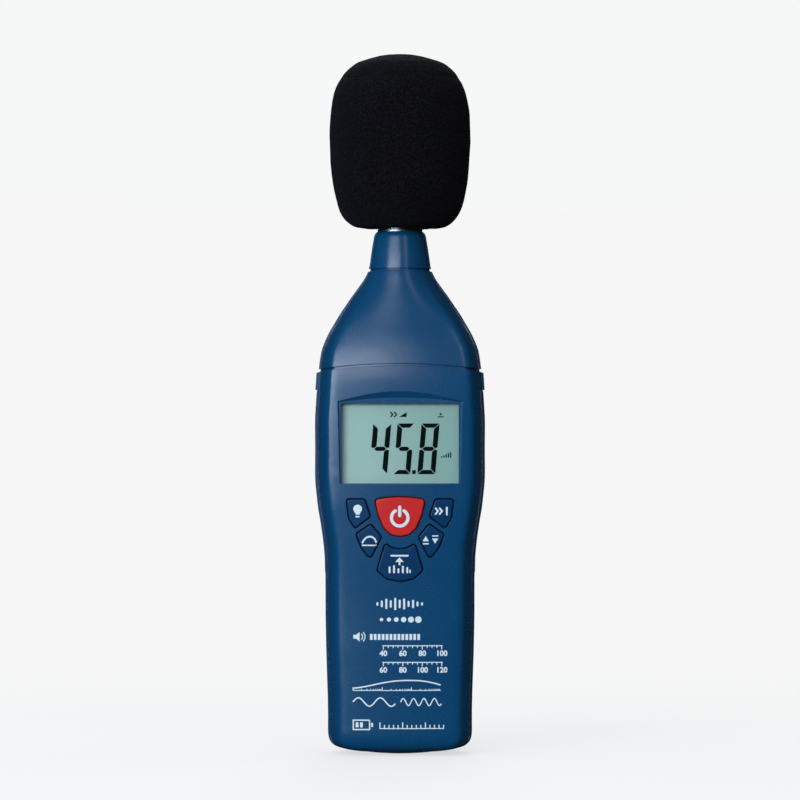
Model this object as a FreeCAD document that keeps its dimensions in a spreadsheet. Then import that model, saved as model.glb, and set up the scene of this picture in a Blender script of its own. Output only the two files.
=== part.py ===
import FreeCAD, Part
import Sketcher
import math
import os

# Hand-held sound level meter. Millimetres.
# Frame: +Z runs along the length with the microphone up, the display faces -Y,
# the microphone axis is x = y = 0 and z = 0 is the lowest point of the case.
# The two case halves meet in the plane y = 0.

V = FreeCAD.Vector
os.makedirs("parts", exist_ok=True)
doc = FreeCAD.newDocument("SoundLevelMeter")

# ---------------------------------------------------------------- driving sizes
SIZES = [
    ("case_top", 167.6, "top of the neck"),
    ("wall", 2.0, "case wall"),
    ("rim_step", 0.35, "front half sits inside the rear rim by this much"),
    ("rear_flat", 15.6, "flat of the back"),
    ("grip_proud", 0.3, "side grips stand proud of the rear half"),
    ("grip_deep", 0.95, "depth of the side grip recess"),
    ("grip_low", 58.0, "lower end of the side grips"),
    ("grip_high", 116.4, "upper end of the side grips"),
    ("lug_proud", 0.6, "small side lugs"),
    ("lug_low", 116.7, "lower edge of the side lugs"),
    ("lug_high", 122.3, "upper edge of the side lugs"),
    ("seam_deep", 0.6, "depth of the styling seams"),
    ("seam_wide", 0.8, "width of the styling seams"),
    ("tube_radius", 6.5, "microphone tube, half-inch class"),
    ("tube_wall", 0.7, "microphone tube wall"),
    ("tube_foot", 149.6, "lower end of the microphone tube"),
    ("tube_top", 203.2, "upper end of the microphone tube"),
    ("tube_flange", 7.6, "flange radius of the microphone tube"),
    ("neck_bore", 6.55, "bore through the neck"),
    ("ring_radius", 7.25, "bright collar ring"),
    ("ring_height", 0.85, "bright collar ring height"),
    ("grid_top", 209.6, "top of the microphone grid"),
    ("foam_low", 168.75, "lower face of the windscreen"),
    ("foam_high", 224.8, "top of the windscreen"),
    ("foam_radius", 22.7, "largest radius of the windscreen"),
    ("foam_bore", 6.62, "bore of the windscreen"),
    ("foam_bore_top", 210.2, "end of the windscreen bore"),
    ("window_half_wide", 18.7, "display opening, half width"),
    ("window_low", 86.9, "display opening, lower edge"),
    ("window_high", 112.4, "display opening, upper edge"),
    ("pane_front", -13.15, "outer face of the window pane"),
    ("pane_thick", 1.2, "window pane thickness"),
    ("glass_thick", 2.3, "display cell thickness"),
    ("key_gap", 0.42, "gap round each key"),
    ("key_flange", 0.7, "flange beyond the key outline"),
    ("key_flange_front", -11.95, "front of the key flange"),
    ("key_flange_back", -11.3, "back of the key flange"),
    ("key_stem_end", -9.05, "end of the key stem"),
    ("key_stem", 1.5, "key stem radius"),
    ("key_travel", 0.7, "key travel"),
    ("board_front", -5.6, "front face of the main board"),
    ("board_back", -4.0, "rear face of the main board"),
    ("board_low", 59.2, "lower edge of the main board"),
    ("battery_wide", 26.5, "nine volt block, width"),
    ("battery_deep", 17.5, "nine volt block, depth"),
    ("battery_tall", 46.4, "nine volt block without its terminals"),
    ("battery_low", 4.4, "lower end of the battery"),
    ("battery_front", -4.3, "front face of the battery"),
    ("bay_half", 13.5, "battery bay, half width"),
    ("bay_outer", 15.0, "battery bay outside, half width"),
    ("bay_high", 57.4, "battery bay, upper end"),
    ("door_half", 14.0, "battery door plate, half width"),
    ("door_tongue", 14.9, "battery door tongues, half width"),
    ("door_inner", 13.45, "inner face of the battery door"),
    ("door_outer", 15.55, "outer face of the battery door"),
    ("door_high", 58.3, "upper end of the battery door"),
    ("insert_height", 71.0, "height of the tripod insert"),
    ("insert_radius", 4.5, "tripod insert radius"),
    ("insert_depth", 8.0, "tripod insert length"),
    ("insert_bore", 2.6, "tripod insert bore, quarter inch thread"),
    ("screw_head", 2.3, "case screw head radius"),
    ("screw_shank", 1.25, "case screw shank radius"),
    ("trim_x", 9.0, "calibration trimmer, sideways place"),
    ("trim_z", 111.0, "calibration trimmer, height"),
]
sheet = doc.addObject("Spreadsheet::Sheet", "Sizes")
for row, (alias, value, note) in enumerate(SIZES, start=1):
    sheet.set("A%d" % row, alias)
    sheet.set("B%d" % row, str(value))
    sheet.set("C%d" % row, note)
    sheet.setAlias("B%d" % row, alias)
doc.recompute()


class Dim:
    """A number together with the spreadsheet expression that gives it."""

    def __init__(self, value, text):
        self.v = float(value)
        self.e = text

    @staticmethod
    def of(x):
        return x if isinstance(x, Dim) else Dim(x, "%.6f" % x if x >= 0 else "(%.6f)" % x)

    def _op(self, other, sign, f, swap=False):
        o = Dim.of(other)
        a, b = (o, self) if swap else (self, o)
        return Dim(f(a.v, b.v), "(%s %s %s)" % (a.e, sign, b.e))

    def __add__(self, o): return self._op(o, "+", lambda a, b: a + b)
    def __radd__(self, o): return self._op(o, "+", lambda a, b: a + b, True)
    def __sub__(self, o): return self._op(o, "-", lambda a, b: a - b)
    def __rsub__(self, o): return self._op(o, "-", lambda a, b: a - b, True)
    def __mul__(self, o): return self._op(o, "*", lambda a, b: a * b)
    def __rmul__(self, o): return self._op(o, "*", lambda a, b: a * b, True)
    def __truediv__(self, o): return self._op(o, "/", lambda a, b: a / b)
    def __neg__(self): return Dim(-self.v, "(-1 * %s)" % self.e)


S = {alias: Dim(value, "Sizes." + alias) for alias, value, note in SIZES}


def D(alias):
    return S[alias]


def num(x):
    return x.v if isinstance(x, Dim) else float(x)


# ---------------------------------------------------------------- feature helpers
def body(name, compound=False):
    b = doc.addObject("PartDesign::Body", name)
    b.Label = name
    if compound and "AllowCompound" in b.PropertiesList:
        b.AllowCompound = True
    return b


def sketch(b, role, off=0.0):
    sk = b.newObject("Sketcher::SketchObject", b.Label + "_sketch")
    plane = [f for f in b.Origin.OriginFeatures if f.Role == role][0]
    sk.AttachmentSupport = [(plane, "")]
    sk.MapMode = "FlatFace"
    sk.AttachmentOffset = FreeCAD.Placement(V(0, 0, num(off)), FreeCAD.Rotation())
    if isinstance(off, Dim):
        sk.setExpression("AttachmentOffset.Base.z", off.e)
    return sk


def hold(sk, geo, pos, axis, val):
    """Fix one coordinate of a point to a size measured from the sketch origin."""
    v = num(val)
    if abs(v) < 1e-9:
        # on the other axis of the sketch
        sk.addConstraint(Sketcher.Constraint("PointOnObject", geo, pos, -2 if axis == "DistanceX" else -1))
        return
    if v > 0:
        i = sk.addConstraint(Sketcher.Constraint(axis, -1, 1, geo, pos, v))
    else:
        i = sk.addConstraint(Sketcher.Constraint(axis, geo, pos, -1, 1, -v))
    if isinstance(val, Dim):
        sk.setExpression("Constraints[%d]" % i, val.e if v > 0 else "-1 * " + val.e)


def poly(sk, pts):
    n = len(pts)
    first = sk.GeometryCount
    for i in range(n):
        a, c = pts[i], pts[(i + 1) % n]
        sk.addGeometry(Part.LineSegment(V(num(a[0]), num(a[1]), 0), V(num(c[0]), num(c[1]), 0)), False)
    for i in range(n):
        sk.addConstraint(Sketcher.Constraint("Coincident", first + i, 2, first + (i + 1) % n, 1))
    for i, (x, y) in enumerate(pts):
        hold(sk, first + i, 1, "DistanceX", x)
        hold(sk, first + i, 1, "DistanceY", y)


def rect(sk, x0, x1, y0, y1):
    poly(sk, [(x0, y0), (x1, y0), (x1, y1), (x0, y1)])


def circ(sk, cx, cy, r):
    g = sk.addGeometry(Part.Circle(V(num(cx), num(cy), 0), V(0, 0, 1), num(r)), False)
    hold(sk, g, 3, "DistanceX", cx)
    hold(sk, g, 3, "DistanceY", cy)
    i = sk.addConstraint(Sketcher.Constraint("Radius", g, num(r)))
    if isinstance(r, Dim):
        sk.setExpression("Constraints[%d]" % i, r.e)


def pad(b, sk, length, back=False):
    p = b.newObject("PartDesign::Pad", b.Label + "_prism")
    p.Profile = sk
    p.Length = num(length)
    if isinstance(length, Dim):
        p.setExpression("Length", length.e)
    p.Reversed = back
    b.Tip = p
    return p


def pocket(b, sk, length, back=False):
    doc.recompute()
    before = b.Shape.Volume
    p = b.newObject("PartDesign::Pocket", b.Label + "_pocket")
    p.Profile = sk
    p.Length = num(length)
    if isinstance(length, Dim):
        p.setExpression("Length", length.e)
    p.Reversed = back
    b.Tip = p
    doc.recompute()
    if b.Shape.Volume > before - 1e-6:
        raise RuntimeError("pocket of %s cuts nothing" % b.Label)
    return p


def turn(b, sk, axis="V_Axis"):
    r = b.newObject("PartDesign::Revolution", b.Label + "_turn")
    r.Profile = sk
    r.ReferenceAxis = (sk, [axis])
    r.Angle = 360
    b.Tip = r
    return r


def soften(b, size, test, kind="Fillet"):
    """Fillet or chamfer the edges of the body that pass the test."""
    doc.recompute()
    base = b.Tip
    names = ["Edge%d" % (i + 1) for i, e in enumerate(base.Shape.Edges) if test(e)]
    if not names:
        raise RuntimeError("no edge to soften on " + b.Label)
    f = b.newObject("PartDesign::" + kind, b.Label + "_soft")
    f.Base = (base, names)
    if kind == "Fillet":
        f.Radius = num(size)
    else:
        f.Size = num(size)
    b.Tip = f
    doc.recompute()
    return f


def plate(name, pts, front, back):
    """A plate parallel to the display: outline in x and z, from y = front to y = back."""
    b = body(name)
    sk = sketch(b, "XZ_Plane", -Dim.of(back))
    poly(sk, pts)
    pad(b, sk, Dim.of(back) - Dim.of(front))
    return b


def box_pts(x0, x1, z0, z1):
    return [(x0, z0), (x1, z0), (x1, z1), (x0, z1)]


def block(name, x0, x1, y0, y1, z0, z1):
    o = doc.addObject("Part::Box", name)
    lo = [Dim.of(x0), Dim.of(y0), Dim.of(z0)]
    hi = [Dim.of(x1), Dim.of(y1), Dim.of(z1)]
    for prop, a, c in zip(("Length", "Width", "Height"), lo, hi):
        setattr(o, prop, c.v - a.v)
        o.setExpression(prop, (c - a).e)
    o.Placement = FreeCAD.Placement(V(lo[0].v, lo[1].v, lo[2].v), FreeCAD.Rotation())
    for ax, a in zip("xyz", lo):
        o.setExpression("Placement.Base." + ax, a.e)
    return o


def rod(name, x, z, r, y0, y1):
    """A cylinder along +Y."""
    o = doc.addObject("Part::Cylinder", name)
    y0, y1 = Dim.of(y0), Dim.of(y1)
    o.Radius = num(r)
    o.Height = y1.v - y0.v
    if isinstance(r, Dim):
        o.setExpression("Radius", r.e)
    o.setExpression("Height", (y1 - y0).e)
    o.Placement = FreeCAD.Placement(V(num(x), y0.v, num(z)), FreeCAD.Rotation(V(1, 0, 0), -90))
    o.setExpression("Placement.Base.y", y0.e)
    if isinstance(x, Dim):
        o.setExpression("Placement.Base.x", x.e)
    if isinstance(z, Dim):
        o.setExpression("Placement.Base.z", z.e)
    return o


def fuse(name, items):
    o = doc.addObject("Part::MultiFuse", name)
    o.Shapes = items
    return o


def cut(name, base, tool):
    o = doc.addObject("Part::Cut", name)
    o.Base = base
    o.Tool = tool
    return o


def common(name, a, c):
    o = doc.addObject("Part::MultiCommon", name)
    o.Shapes = [a, c]
    return o


def feature(name, shape):
    o = doc.addObject("Part::Feature", name)
    o.Shape = shape
    o.Placement = FreeCAD.Placement()
    return o


# ---------------------------------------------------------------- case form
# Half width at the parting line, half depth in front and behind, by height.
CASE_W = [(0.0, 6.2), (0.2, 9.2), (0.7, 13.3), (1.1, 17.0), (1.7, 19.6), (2.5, 21.3), (3.5, 22.3),
          (4.6, 22.85), (6.2, 23.15), (9.0, 23.2), (14.0, 23.2), (22.2, 23.4), (30.5, 23.7),
          (38.8, 23.9), (46.0, 24.0), (54.0, 24.0), (60.0, 24.05), (63.5, 24.15), (66.3, 24.4),
          (69.0, 24.7), (71.8, 25.1), (74.5, 25.5), (77.3, 26.0), (80.0, 26.4), (82.8, 26.7),
          (85.6, 27.0), (89.0, 27.2), (94.0, 27.2), (101.0, 27.2), (107.6, 27.2), (112.0, 26.95),
          (117.0, 26.65), (121.0, 26.4), (124.1, 26.1), (127.0, 25.7), (129.6, 25.2), (132.3, 24.2),
          (135.1, 22.9), (138.0, 21.2), (140.6, 19.7), (143.4, 17.8), (146.1, 16.0), (148.6, 14.2),
          (151.0, 12.45), (152.6, 11.4), (153.9, 10.7), (155.3, 10.15), (157.1, 9.75), (160.0, 9.35),
          (163.0, 8.9), (165.6, 8.45), (166.6, 8.2), (167.2, 7.85), (167.6, 7.35)]
FRONT_D = [(0, 14.0), (50, 14.2), (66, 14.8), (80, 15.2), (118, 15.2), (124.1, 14.95), (132.3, 13.9),
           (140.6, 12.3), (148.6, 10.9), (153.9, 10.05), (155.3, 9.75), (160, 9.2), (165.6, 8.4),
           (166.6, 8.2), (167.2, 7.85), (167.6, 7.35)]
REAR_D = [(0, 15.8), (50, 15.8), (118, 15.8), (124.1, 15.6), (132.3, 14.8), (140.6, 13.2),
          (148.6, 11.4), (153.9, 10.1), (155.3, 9.75), (160, 9.2), (165.6, 8.4), (166.6, 8.2),
          (167.2, 7.85), (167.6, 7.35)]


def read(tab, z):
    if z <= tab[0][0]:
        return tab[0][1]
    for (a, p), (c, q) in zip(tab, tab[1:]):
        if z <= c:
            return p + (q - p) * (z - a) / (c - a)
    return tab[-1][1]


def read_smooth(tab, z):
    tot = acc = 0.0
    for k in range(-8, 9):
        g = math.exp(-0.5 * (k / 3.0) ** 2)
        acc += g * read(tab, z + k * 0.667)
        tot += g
    return acc / tot


def hermite(p, tp, q, tq, n):
    length = math.hypot(q[0] - p[0], q[1] - p[1]) * 1.04
    out = []
    for i in range(n + 1):
        u = i / n
        a, c, d, f = 2 * u**3 - 3 * u**2 + 1, u**3 - 2 * u**2 + u, -2 * u**3 + 3 * u**2, u**3 - u**2
        out.append((a * p[0] + c * length * tp[0] + d * q[0] + f * length * tq[0],
                    a * p[1] + c * length * tp[1] + d * q[1] + f * length * tq[1]))
    return out


def resample(pts, n):
    run = [0.0]
    for a, c in zip(pts, pts[1:]):
        run.append(run[-1] + math.hypot(c[0] - a[0], c[1] - a[1]))
    out, j = [], 0
    for i in range(n + 1):
        d = run[-1] * i / n
        while j < len(run) - 2 and run[j + 1] < d:
            j += 1
        u = (d - run[j]) / max(1e-12, run[j + 1] - run[j])
        out.append((pts[j][0] + (pts[j + 1][0] - pts[j][0]) * u, pts[j][1] + (pts[j + 1][1] - pts[j][1]) * u))
    return out, run[-1]


def section(w, d, k, crown):
    """Quarter of a case section, from the crown (0, d) to the rim (w, 0).
    k = 0 is the round neck, k = 1 the broad body: a gently crowned face, a rounded
    crease and a bevelled side that leans out to the parting line."""
    bevel = (1 - k) * 0.293 * w + k * (3.5 if crown > 0.8 else 4.6)
    drop = (1 - k) * 0.293 * d + k * crown
    face_end = math.radians((1 - k) * 45 + k * (6.5 if crown > 0.8 else 2.0))
    side_start = math.radians((1 - k) * 45 + k * 66)
    side_end = math.radians((1 - k) * 90 + k * 86)
    r = (1 - k) * 0.6 + k * 2.2
    p = (w - bevel, d - drop)
    pts = hermite((0, d), (1, 0), p, (math.cos(face_end), -math.sin(face_end)), 60)
    pts += hermite(p, (math.cos(side_start), -math.sin(side_start)), (w, 0),
                   (math.cos(side_end), -math.sin(side_end)), 40)[1:]
    n = 240
    fine, length = resample(pts, n)
    sig = r * 0.55 * n / length
    m = max(1, int(3 * sig))
    ex, ey = fine[-1]
    line = [(-x, y) for x, y in fine[1:m + 1]][::-1] + fine + [(2 * ex - x, 2 * ey - y) for x, y in fine[-m - 1:-1]][::-1]
    ker = [math.exp(-0.5 * ((i - m) / sig) ** 2) for i in range(2 * m + 1)]
    tot = sum(ker)
    soft = [(sum(g * line[i + j][0] for j, g in enumerate(ker)) / tot,
             sum(g * line[i + j][1] for j, g in enumerate(ker)) / tot) for i in range(n + 1)]
    out, _ = resample(soft, 28)
    out[0] = (0.0, out[0][1])
    out[-1] = (out[-1][0], 0.0)
    return out


def half(front, inset=0.0, floor=None, ext=0.0, step=0.0):
    """One half of the case form as a closed solid, its surface moved inwards by inset.
    With a floor the form is a cavity: straight sided down to that height and open at the top."""
    side = -1 if front else 1
    zs = [z for z, _ in CASE_W]
    if floor is not None:
        zs = [floor] + [z for z in zs if z > floor + 0.6]
        zs[-1] += 3.0
    rows = []
    for z in zs:
        w = read(CASE_W, z)
        tab = FRONT_D if front else REAR_D
        d = read_smooth(tab, z) if 14 < z < 150 else read(tab, z)
        if z < 9.0:
            if floor is None:
                d = d * (w / 23.2)
            else:
                w = 23.2
        w = w - inset - step
        d = d - inset
        if z >= 155.3:
            k = 0.0
        elif z <= 137:
            k = 1.0
        else:
            q = (155.3 - z) / (155.3 - 137.0)
            k = q * q * (3 - 2 * q)
        if z < 5 and floor is None:
            k = max(0.0, min(1.0, (w - 4.0) / 17.0))
        sec = section(w, d, k, 1.25 if front else 0.25)
        row = [(-x, side * y) for x, y in sec[::-1]] + [(x, side * y) for x, y in sec[1:]]
        if ext > 0:
            row = [(row[0][0], -side * ext)] + row + [(row[-1][0], -side * ext)]
        rows.append([V(x, y, z) for x, y in row])
    surf = Part.BSplineSurface()
    surf.interpolate(rows)
    skin = surf.toShape()
    z0, z1 = rows[0][0].z, rows[-1][0].z
    low = [e for e in skin.Edges if all(abs(v.Point.z - z0) < 1e-6 for v in e.Vertexes)][0]
    high = [e for e in skin.Edges if all(abs(v.Point.z - z1) < 1e-6 for v in e.Vertexes)][0]
    sides = [e for e in skin.Edges if not e.isSame(low) and not e.isSame(high)]
    low_line = Part.makeLine(rows[0][0], rows[0][-1])
    high_line = Part.makeLine(rows[-1][0], rows[-1][-1])
    faces = [skin]
    for edges in ([low, low_line], [high, high_line], [low_line, high_line] + sides):
        faces.append(Part.Face(Part.Wire(Part.__sortEdges__(edges))))
    shell = Part.Shell(faces)
    shell.sewShape(1e-4)
    solid = Part.Solid(shell)
    solid.fix(1e-4, 1e-4, 1e-4)
    if solid.Volume < 0:
        solid.reverse()
    if not solid.isValid() or solid.Volume < 1000:
        raise RuntimeError("case form failed")
    return solid


WALL = num(D("wall"))
STEP = num(D("rim_step"))
FLOOR = 3.4
front_form = feature("front_form", half(True, step=STEP))
front_cavity = feature("front_cavity", half(True, inset=WALL, floor=FLOOR, ext=1.0, step=STEP))
front_seam_core = feature("front_seam_core", half(True, inset=num(D("seam_deep")), step=STEP))
key_form = feature("key_form", half(True, inset=-0.45, step=STEP))
power_form = feature("power_form", half(True, inset=-0.8, step=STEP))
rear_form = feature("rear_form", half(False))
rear_cavity = feature("rear_cavity", half(False, inset=WALL, floor=FLOOR, ext=1.0))
rear_seam_core = feature("rear_seam_core", half(False, inset=num(D("seam_deep"))))
grip_form = feature("grip_form", half(False, inset=-num(D("grip_proud"))))
grip_core = feature("grip_core", half(False, inset=num(D("grip_deep"))))
grip_seat = feature("grip_seat", half(False, inset=num(D("grip_deep")) + 0.05))
lug_form = feature("lug_form", half(False, inset=-num(D("lug_proud"))))

# Styling seams: a thin curved band right round the case, kept to the surface.
def band(name, mid, sag, half_width):
    """A band through the case, arched upwards at its middle, as a PartDesign pad."""
    b = body(name)
    sk = sketch(b, "XZ_Plane", -40.0)
    wide = D("seam_wide")
    lo = [V(-half_width, mid - sag - wide.v / 2, 0), V(0, mid - wide.v / 2, 0), V(half_width, mid - sag - wide.v / 2, 0)]
    hi = [V(half_width, mid - sag + wide.v / 2, 0), V(0, mid + wide.v / 2, 0), V(-half_width, mid - sag + wide.v / 2, 0)]
    sk.addGeometry(Part.Arc(*lo), False)
    sk.addGeometry(Part.LineSegment(lo[2], hi[0]), False)
    sk.addGeometry(Part.Arc(*hi), False)
    sk.addGeometry(Part.LineSegment(hi[2], lo[0]), False)
    pad(b, sk, 80.0)
    return b


shoulder_band = band("shoulder_band", 124.8, 2.4, 30.0)
neck_band = band("neck_band", 155.4, 0.25, 14.0)
doc.recompute()
for b in (shoulder_band, neck_band):
    # the pad runs towards -Y from its sketch plane, so it has to cover both sides of y = 0
    bb = b.Shape.BoundBox
    if bb.YMin > -20 or bb.YMax < 20:
        raise RuntimeError("band does not cover the case: %s" % bb)
bands = fuse("seam_bands", [shoulder_band, neck_band])
front_seams = cut("front_seams", bands, front_seam_core)
bands_rear = fuse("seam_bands_rear", [shoulder_band, neck_band])
rear_seams = cut("rear_seams", bands_rear, rear_seam_core)

# ---------------------------------------------------------------- keys
# Outlines in x and z, corners in order, with a corner radius.
KEYS = {
    "power_key": ([(-7.9, 81.75), (-4.0, 82.35), (0.0, 82.55), (4.0, 82.35), (7.9, 81.75), (6.95, 77.2), (5.1, 72.8), (2.9, 70.75), (0.0, 70.1), (-2.9, 70.75), (-5.1, 72.8), (-6.95, 77.2)], 1.0, (0.0, 76.5)),
    "backlight_key": ([(-17.0, 81.8), (-11.3, 81.8), (-9.5, 76.4), (-14.4, 72.7), (-16.2, 75.8)], 0.8, (-13.3, 77.8)),
    "response_key": ([(17.0, 81.8), (11.3, 81.8), (9.5, 76.4), (14.4, 72.7), (16.2, 75.8)], 0.8, (13.3, 77.8)),
    "weighting_key": ([(-9.3, 73.9), (-6.0, 69.8), (-9.5, 62.9), (-12.3, 66.6), (-13.9, 70.7)], 0.8, (-9.9, 69.4)),
    "range_key": ([(9.3, 73.9), (6.0, 69.8), (9.5, 62.9), (12.3, 66.6), (13.9, 70.7)], 0.8, (9.9, 69.4)),
    "max_hold_key": ([(-4.7, 67.7), (-2.6, 66.35), (0.0, 65.85), (2.6, 66.35), (4.7, 67.7), (7.2, 59.2), (4.2, 56.6), (0.0, 55.75), (-4.2, 56.6), (-7.2, 59.2)], 0.7, (0.0, 62.3)),
}


def ring_geometry(pts, radius):
    """Closed outline of lines and corner arcs, in the sketch plane."""
    n = len(pts)
    cx = sum(p[0] for p in pts) / n
    geo, prev = [], None
    starts = []
    for i in range(n):
        a, c, d = [V(*pts[j % n], 0) for j in (i - 1, i, i + 1)]
        u, w = (a - c), (d - c)
        lu, lw = u.Length, w.Length
        u.normalize()
        w.normalize()
        ang = math.acos(max(-1, min(1, u.dot(w))))
        if ang > math.radians(150):
            r = radius * 4
        else:
            r = radius
        t = min(r / math.tan(ang / 2), 0.42 * lu, 0.42 * lw)
        r = t * math.tan(ang / 2)
        bis = (u + w)
        bis.normalize()
        centre = c + bis * (r / math.sin(ang / 2))
        starts.append((c + u * t, centre - bis * r, c + w * t))
    for i in range(n):
        p0, pm, p1 = starts[i]
        geo.append(Part.Arc(p0, pm, p1))
        q0 = starts[(i + 1) % n][0]
        if (q0 - p1).Length > 1e-6:
            geo.append(Part.LineSegment(p1, q0))
    return geo


def outline_wire(pts, radius, grow):
    wire = Part.Wire([g.toShape() for g in ring_geometry(pts, radius)])
    if grow > 0:
        wire = wire.makeOffset2D(grow)
    return wire


def sketch_wire(sk, wire):
    for e in wire.Edges:
        c = e.Curve
        a, m, z = [e.valueAt(q) for q in (e.FirstParameter, (e.FirstParameter + e.LastParameter) / 2, e.LastParameter)]
        if isinstance(c, Part.Circle):
            sk.addGeometry(Part.Arc(a, m, z), False)
        else:
            sk.addGeometry(Part.LineSegment(a, z), False)


key_openings = []
for key, (pts, radius, stem) in KEYS.items():
    b = body(key + "_blank")
    sk = sketch(b, "XZ_Plane", -D("key_flange_front"))
    sketch_wire(sk, outline_wire(pts, radius, 0))
    pad(b, sk, 5.0)
    sk = sketch(b, "XZ_Plane", -D("key_flange_back"))
    sketch_wire(sk, outline_wire(pts, radius, num(D("key_flange"))))
    pad(b, sk, D("key_flange_back") - D("key_flange_front"))
    sk = sketch(b, "XZ_Plane", -D("key_stem_end"))
    circ(sk, stem[0], stem[1], D("key_stem"))
    pad(b, sk, D("key_stem_end") - D("key_flange_back"))
    k = common(key + "_cap", b, power_form if key == "power_key" else key_form)
    doc.recompute()
    f = doc.addObject("Part::Fillet", key)
    f.Base = k
    edges = []
    for i, e in enumerate(k.Shape.Edges):
        ys = [v.Point.y for v in e.Vertexes] + [e.valueAt((e.FirstParameter + e.LastParameter) / 2).y]
        if max(ys) < -13.6 and max(ys) - min(ys) < 0.6:
            edges.append((i + 1, 0.3, 0.3))
    f.Edges = edges
    f.Label = key
    o = body(key + "_opening")
    sk = sketch(o, "XZ_Plane", 10.0)
    sketch_wire(sk, outline_wire(pts, radius, num(D("key_gap"))))
    pad(o, sk, 8.0)
    key_openings.append(o)

# ---------------------------------------------------------------- front shell
# Arched display recess, its walls leaning in, and the display opening behind it.
def frustum(name, pts_out, y_out, pts_in, y_in):
    w0 = Part.makePolygon([V(x, y_out, z) for x, z in pts_out + pts_out[:1]])
    w1 = Part.makePolygon([V(x, y_in, z) for x, z in pts_in + pts_in[:1]])
    return feature(name, Part.makeLoft([w0, w1], True, True))


def arch(half_low, half_high, low, ends, peak, n=16):
    pts = [(-half_low, low), (half_low, low)]
    for i in range(n + 1):
        x = half_high - 2 * half_high * i / n
        pts.append((x, ends + (peak - ends) * (1 - (x / half_high) ** 2)))
    return pts


recess = frustum("display_recess", arch(20.4, 21.6, 86.0, 114.3, 118.3), -16.4,
                 arch(18.95, 19.6, 86.9, 112.9, 114.3), -13.95)
opening = block("display_opening", -D("window_half_wide"), D("window_half_wide"), -17.0, -9.0, D("window_low"), D("window_high"))
seat = block("display_seat", -20.9, 20.9, D("pane_front") - 0.05, -8.0, 84.6, 114.6)
frame = block("display_frame", -22.4, 22.4, -13.4, -9.6, 83.3, 116.0)
front_posts = []
front_holes = []
for i, (x, z) in enumerate([(-17.4, 119.2), (17.4, 119.2), (-17.6, 64.4), (17.6, 64.4)]):
    front_posts.append(rod("board_post_%d" % i, x, z, 2.3, -13.2 if z > 100 else -12.9, D("board_front") - 0.05))
    front_holes.append(rod("board_post_hole_%d" % i, x, z, 1.1, -11.0, -4.0))
CASE_SCREWS = [(-16.4, 131.4, 12.2), (16.4, 131.4, 12.2), (-18.3, 9.4, 11.4), (18.3, 9.4, 11.4)]
for i, (x, z, back) in enumerate(CASE_SCREWS):
    front_posts.append(rod("case_post_%d" % i, x, z, 2.9, -12.0 if z > 100 else -11.6, -0.05))
    front_holes.append(rod("case_post_hole_%d" % i, x, z, D("screw_shank") + 0.07, -9.6, 1.0))
# The bore through the neck is taken out of the plain form before the form is hollowed.
def neck_bore(name):
    c = doc.addObject("Part::Cylinder", name)
    c.setExpression("Radius", D("neck_bore").e)
    c.Height = 30.0
    c.Placement = FreeCAD.Placement(V(0, 0, 150.0), FreeCAD.Rotation(V(0, 0, 1), 37))
    return c


def neck_fill(name, y0, y1, core):
    """Solid neck between the bore and the outer skin, above the flange of the microphone tube."""
    ring = cut(name + "_ring", block(name + "_block", -7.6, 7.6, y0, y1, 152.6, 167.2), neck_bore(name + "_bore"))
    return common(name, ring, core)


front_neck = neck_fill("front_neck", -7.4, -0.02, front_seam_core)

front_skin = cut("front_skin", cut("front_bored", front_form, neck_bore("front_form_bore")), front_cavity)
front_inner = common("front_inner", fuse("front_inner_parts", [frame] + front_posts), front_seam_core)
front_body = fuse("front_body", [front_skin, front_neck, front_inner])
front_tools = [seat, opening, recess, fuse("key_openings", key_openings),
               fuse("front_small_holes", front_holes), front_seams]
front_shell = front_body
for i, tool in enumerate(front_tools):
    front_shell = cut("front_shell" if i == len(front_tools) - 1 else "front_stage_%d" % i, front_shell, tool)

# ---------------------------------------------------------------- rear shell
rear_skin = cut("rear_skin", cut("rear_bored", rear_form, neck_bore("rear_form_bore")), rear_cavity)
bay = block("battery_bay", -D("bay_outer"), D("bay_outer"), 0.0, 14.4, 2.6, D("bay_high") + 1.2)
bay_front = block("battery_bay_front", -D("bay_outer"), D("bay_outer"), D("battery_front") - 1.3, 0.1, 3.45, D("bay_high") + 1.2)
rear_posts = []
rear_holes = []
for i, (x, z, back) in enumerate(CASE_SCREWS):
    rear_posts.append(rod("rear_post_%d" % i, x, z, 3.0, 0.02, back + 1.8))
    rear_holes.append(rod("rear_post_hole_%d" % i, x, z, D("screw_shank") + 0.15, -1.0, 18.0))
    rear_holes.append(rod("rear_counterbore_%d" % i, x, z, D("screw_head") + 0.25, back - 6.6, 18.0))
insert_post = rod("insert_post", 0.0, D("insert_height"), D("insert_radius") + 2.0, D("rear_flat") - D("insert_depth") - 1.5, 14.4)
insert_hole = rod("insert_hole", 0.0, D("insert_height"), D("insert_radius") + 0.02, D("rear_flat") - D("insert_depth"), 18.0)
rear_neck = neck_fill("rear_neck", 0.02, 7.4, rear_seam_core)
flat_cut = block("flat_cut", -40.0, 40.0, D("rear_flat"), 30.0, -5.0, 200.0)
bay_cut = block("bay_cut", -D("bay_half"), D("bay_half"), D("battery_front") - 0.1, 18.0, 3.4, D("bay_high"))
door_cut = block("door_cut", -D("door_half") - 0.15, D("door_half") + 0.15, D("door_inner") - 0.15, 18.0, -3.0, D("door_high") + 0.2)
groove_cut = block("groove_cut", -D("door_tongue") - 0.15, D("door_tongue") + 0.15, D("door_inner") - 0.15, D("door_inner") + 1.0, -3.0, 55.4)
lead_notch = block("lead_notch", -3.4, 3.4, -3.0, 2.0, D("bay_high") - 1.0, D("bay_high") + 3.0)
trim_hole = rod("trim_hole", D("trim_x"), D("trim_z"), 1.7, 10.0, 20.0)
label_cut = block("label_cut", -15.1, 15.1, D("rear_flat") - 0.35, 18.0, 80.9, 102.1)
grip_boxes = []
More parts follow.
